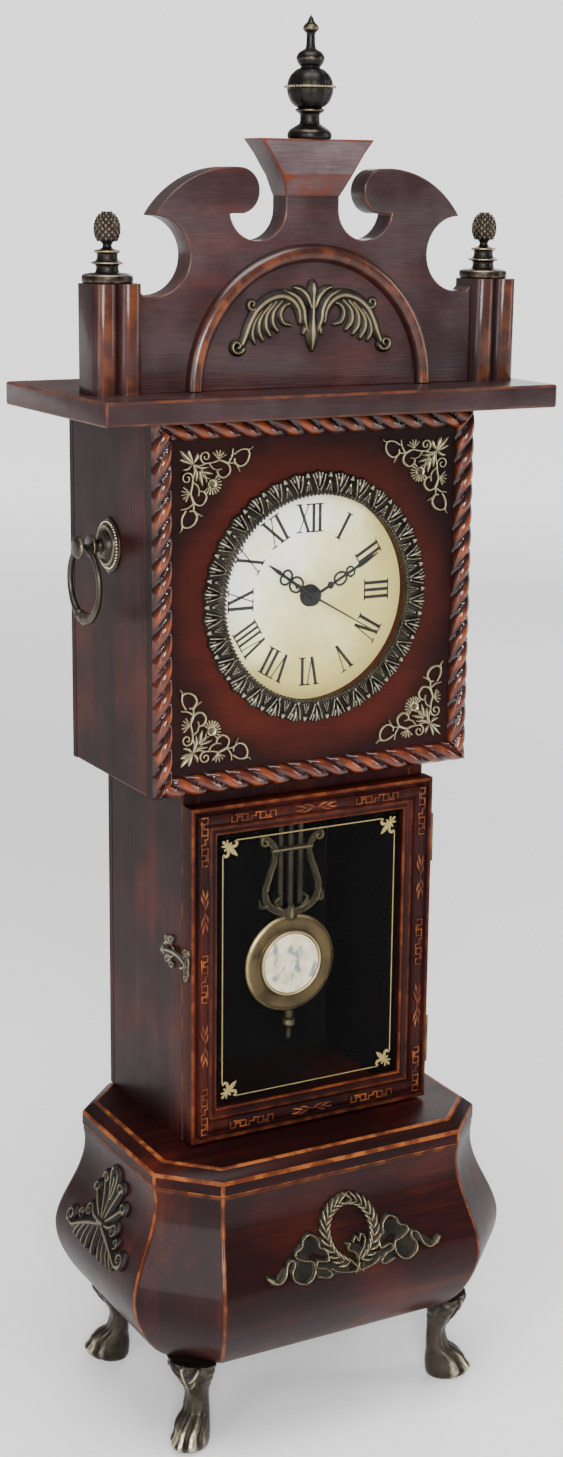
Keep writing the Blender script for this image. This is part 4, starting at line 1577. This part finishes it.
def to_right_side(points):
    """Lays a piece turned about Z on the hood's right side, its foot at the board."""
    return np.stack([hood_side + points[:, 2], pull_y + points[:, 0], pull_z + points[:, 1]], 1)


eye_gap = 2.5
eye_halves = [spun(flowing([(4.9, eye_gap * s, 0.3), (5.4, (eye_gap + 0.3) * s, 0.6), (5.0, 4.0 * s, 0.4),
                            (3.2, 5.0 * s, 0.4), (0.2, 5.3 * s, 0.3)], 3), 32) for s in (-1, 1)]
eye_shape = gathered(eye_halves).placed(
    lambda points: np.stack([eye_x + points[:, 2], pull_y + points[:, 0], pull_z + points[:, 1]], 1))
right_pull = rosette.placed(to_right_side) + eye_shape
make("rosettes_cast", right_pull + right_pull.mirrored(), pull_brass, "case", "antique_brass", "pull_rosettes",
     crisp=50)

ring_wire = 1.5
ring_radius = 16.5
ring_middle = pull_z - ring_radius
ring_rings = []
ring_marks = []
for turn in np.linspace(0, 2 * math.pi, 121)[:-1]:
    low_share = max(0.0, -math.cos(turn))
    gap = abs(turn - math.pi) * ring_radius
    wire = ring_wire * (0.90 + 0.55 * low_share ** 3) + 0.9 * math.exp(-(gap / 1.9) ** 2)
    wire += 0.55 * (math.exp(-((gap - 4.3) / 0.55) ** 2) + math.exp(-((gap - 6.0) / 0.5) ** 2))
    ring_rings.append([
        (eye_x + wire * math.sin(a), pull_y + (ring_radius + wire * math.cos(a)) * math.sin(turn),
         ring_middle + (ring_radius + wire * math.cos(a)) * math.cos(turn))
        for a in np.linspace(0, 2 * math.pi, 16, endpoint=False)])
    ring_marks += [0.25 + 0.25 * low_share] * 16
ring_shape = loft(ring_rings, ring_marks, closed=True)
make("drop_ring_right", ring_shape, pull_brass, "ring_right", "antique_brass", "pull_ring_right", crisp=60)
make("drop_ring_left", ring_shape.mirrored(), pull_brass, "ring_left", "antique_brass", "pull_ring_left", crisp=60)

# ------------------------------------------------------------------------------ hinges and screws
# Two small brass-plated butt hinges on the door's right edge, and countersunk steel screws round the back
# panel, with a crossed slot in each head.

hinge_plate = aged_brass("hinge_plate", body=(0.16, 0.12, 0.06), recess=(0.05, 0.035, 0.02), wiped=0.2, gloss=0.28)
refinish(hinge_plate, "hinge_case_leaves", "hinge_door_leaves", "hinge_pins")
screw_steel = mottled("zinc_plated_steel", 700, (0.30, 0.28, 0.24), (0.56, 0.54, 0.48), 0.28, 0.2, (900,),
                      Metallic=0.95)
refinish(screw_steel, "case_screws")

# ------------------------------------------------------------------------------ the studio
# A pale floor that runs out to pale surroundings, a large soft light above, one to each side, and the camera.

FLOOR_REACH = 6.0
floor_mesh = bpy.data.meshes.new("floor")
floor_mesh.from_pydata([(FLOOR_REACH * x, FLOOR_REACH * y, 0) for x, y in ((-1, -1), (1, -1), (1, 1), (-1, 1))],
                       [], [(0, 1, 2, 3)])
floor_paint = Finish("pale_floor", Roughness=0.6, Emission_Strength=1.45)
from_clock = floor_paint.node("ShaderNodeVectorMath", {"operation": "LENGTH"}, {0: floor_paint.place()}, 1)
floor_paint.give("Emission Color", floor_paint.ramp(
    from_clock.step(0.8, 3.4), (0.0, (0.08, 0.08, 0.08)), (1.0, (1.0, 1.0, 1.0))))
floor_paint.give("Base Color", floor_paint.ramp(
    floor_paint.noise(3), (0.3, (0.92, 0.92, 0.92)), (0.7, (0.95, 0.95, 0.95))))
floor_mesh.materials.append(floor_paint.material)
floor = bpy.data.objects.new("floor", floor_mesh)
bpy.context.scene.collection.objects.link(floor)

world = bpy.data.worlds.new("pale_surroundings")
world.use_nodes = True
sky = world.node_tree.nodes["Background"]
sky.inputs["Color"].default_value = (1.0, 1.0, 1.0, 1)
ray = world.node_tree.nodes.new("ShaderNodeLightPath")
strength = world.node_tree.nodes.new("ShaderNodeMapRange")
strength.inputs["To Min"].default_value = 0.30
strength.inputs["To Max"].default_value = 1.75
world.node_tree.links.new(ray.outputs["Is Camera Ray"], strength.inputs["Value"])
world.node_tree.links.new(strength.outputs["Result"], sky.inputs["Strength"])
bpy.context.scene.world = world

CLOCK_MIDDLE = Vector((0, 0, 0.34))


def soft_light(name, place, width, height, power):
    lamp = bpy.data.lights.new(name, "AREA")
    lamp.shape = "RECTANGLE"
    lamp.size = width
    lamp.size_y = height
    lamp.energy = power
    holder = bpy.data.objects.new(name, lamp)
    holder.location = place
    holder.rotation_euler = (CLOCK_MIDDLE - Vector(place)).to_track_quat("-Z", "Y").to_euler()
    bpy.context.scene.collection.objects.link(holder)


soft_light("overhead", (-0.2, -0.40, 1.9), 1.2, 0.9, 34)
soft_light("left_window", (-1.5, -0.9, 0.7), 0.5, 1.2, 12)
soft_light("front_window", (-0.8, -1.6, 0.9), 0.5, 0.5, 36)
soft_light("right_window", (1.7, -0.7, 0.8), 0.4, 1.1, 12)
soft_light("back_fill", (1.2, 1.3, 1.0), 1.0, 1.0, 10)

CAMERA_PLACE = (-0.494808, -0.898587, 0.587382)
CAMERA_YAW, CAMERA_PITCH, CAMERA_ROLL = 28.81, -13.86, 0.59
camera_yaw, camera_pitch, camera_roll = map(math.radians, (CAMERA_YAW, CAMERA_PITCH, CAMERA_ROLL))
forward = Vector((math.sin(camera_yaw) * math.cos(camera_pitch),
                  math.cos(camera_yaw) * math.cos(camera_pitch), math.sin(camera_pitch)))
right = Vector((math.cos(camera_yaw), -math.sin(camera_yaw), 0))
up = right.cross(forward)
camera_right = right * math.cos(camera_roll) + up * math.sin(camera_roll)
camera_up = up * math.cos(camera_roll) - right * math.sin(camera_roll)
lens = bpy.data.cameras.new("camera")
lens.lens = 54.96
lens.sensor_width = 36
lens.clip_start = 0.05
camera = bpy.data.objects.new("camera", lens)
turned = Matrix((camera_right, camera_up, -forward)).transposed().to_4x4()
camera.matrix_world = Matrix.Translation(CAMERA_PLACE) @ turned
bpy.context.scene.collection.objects.link(camera)
bpy.context.scene.camera = camera
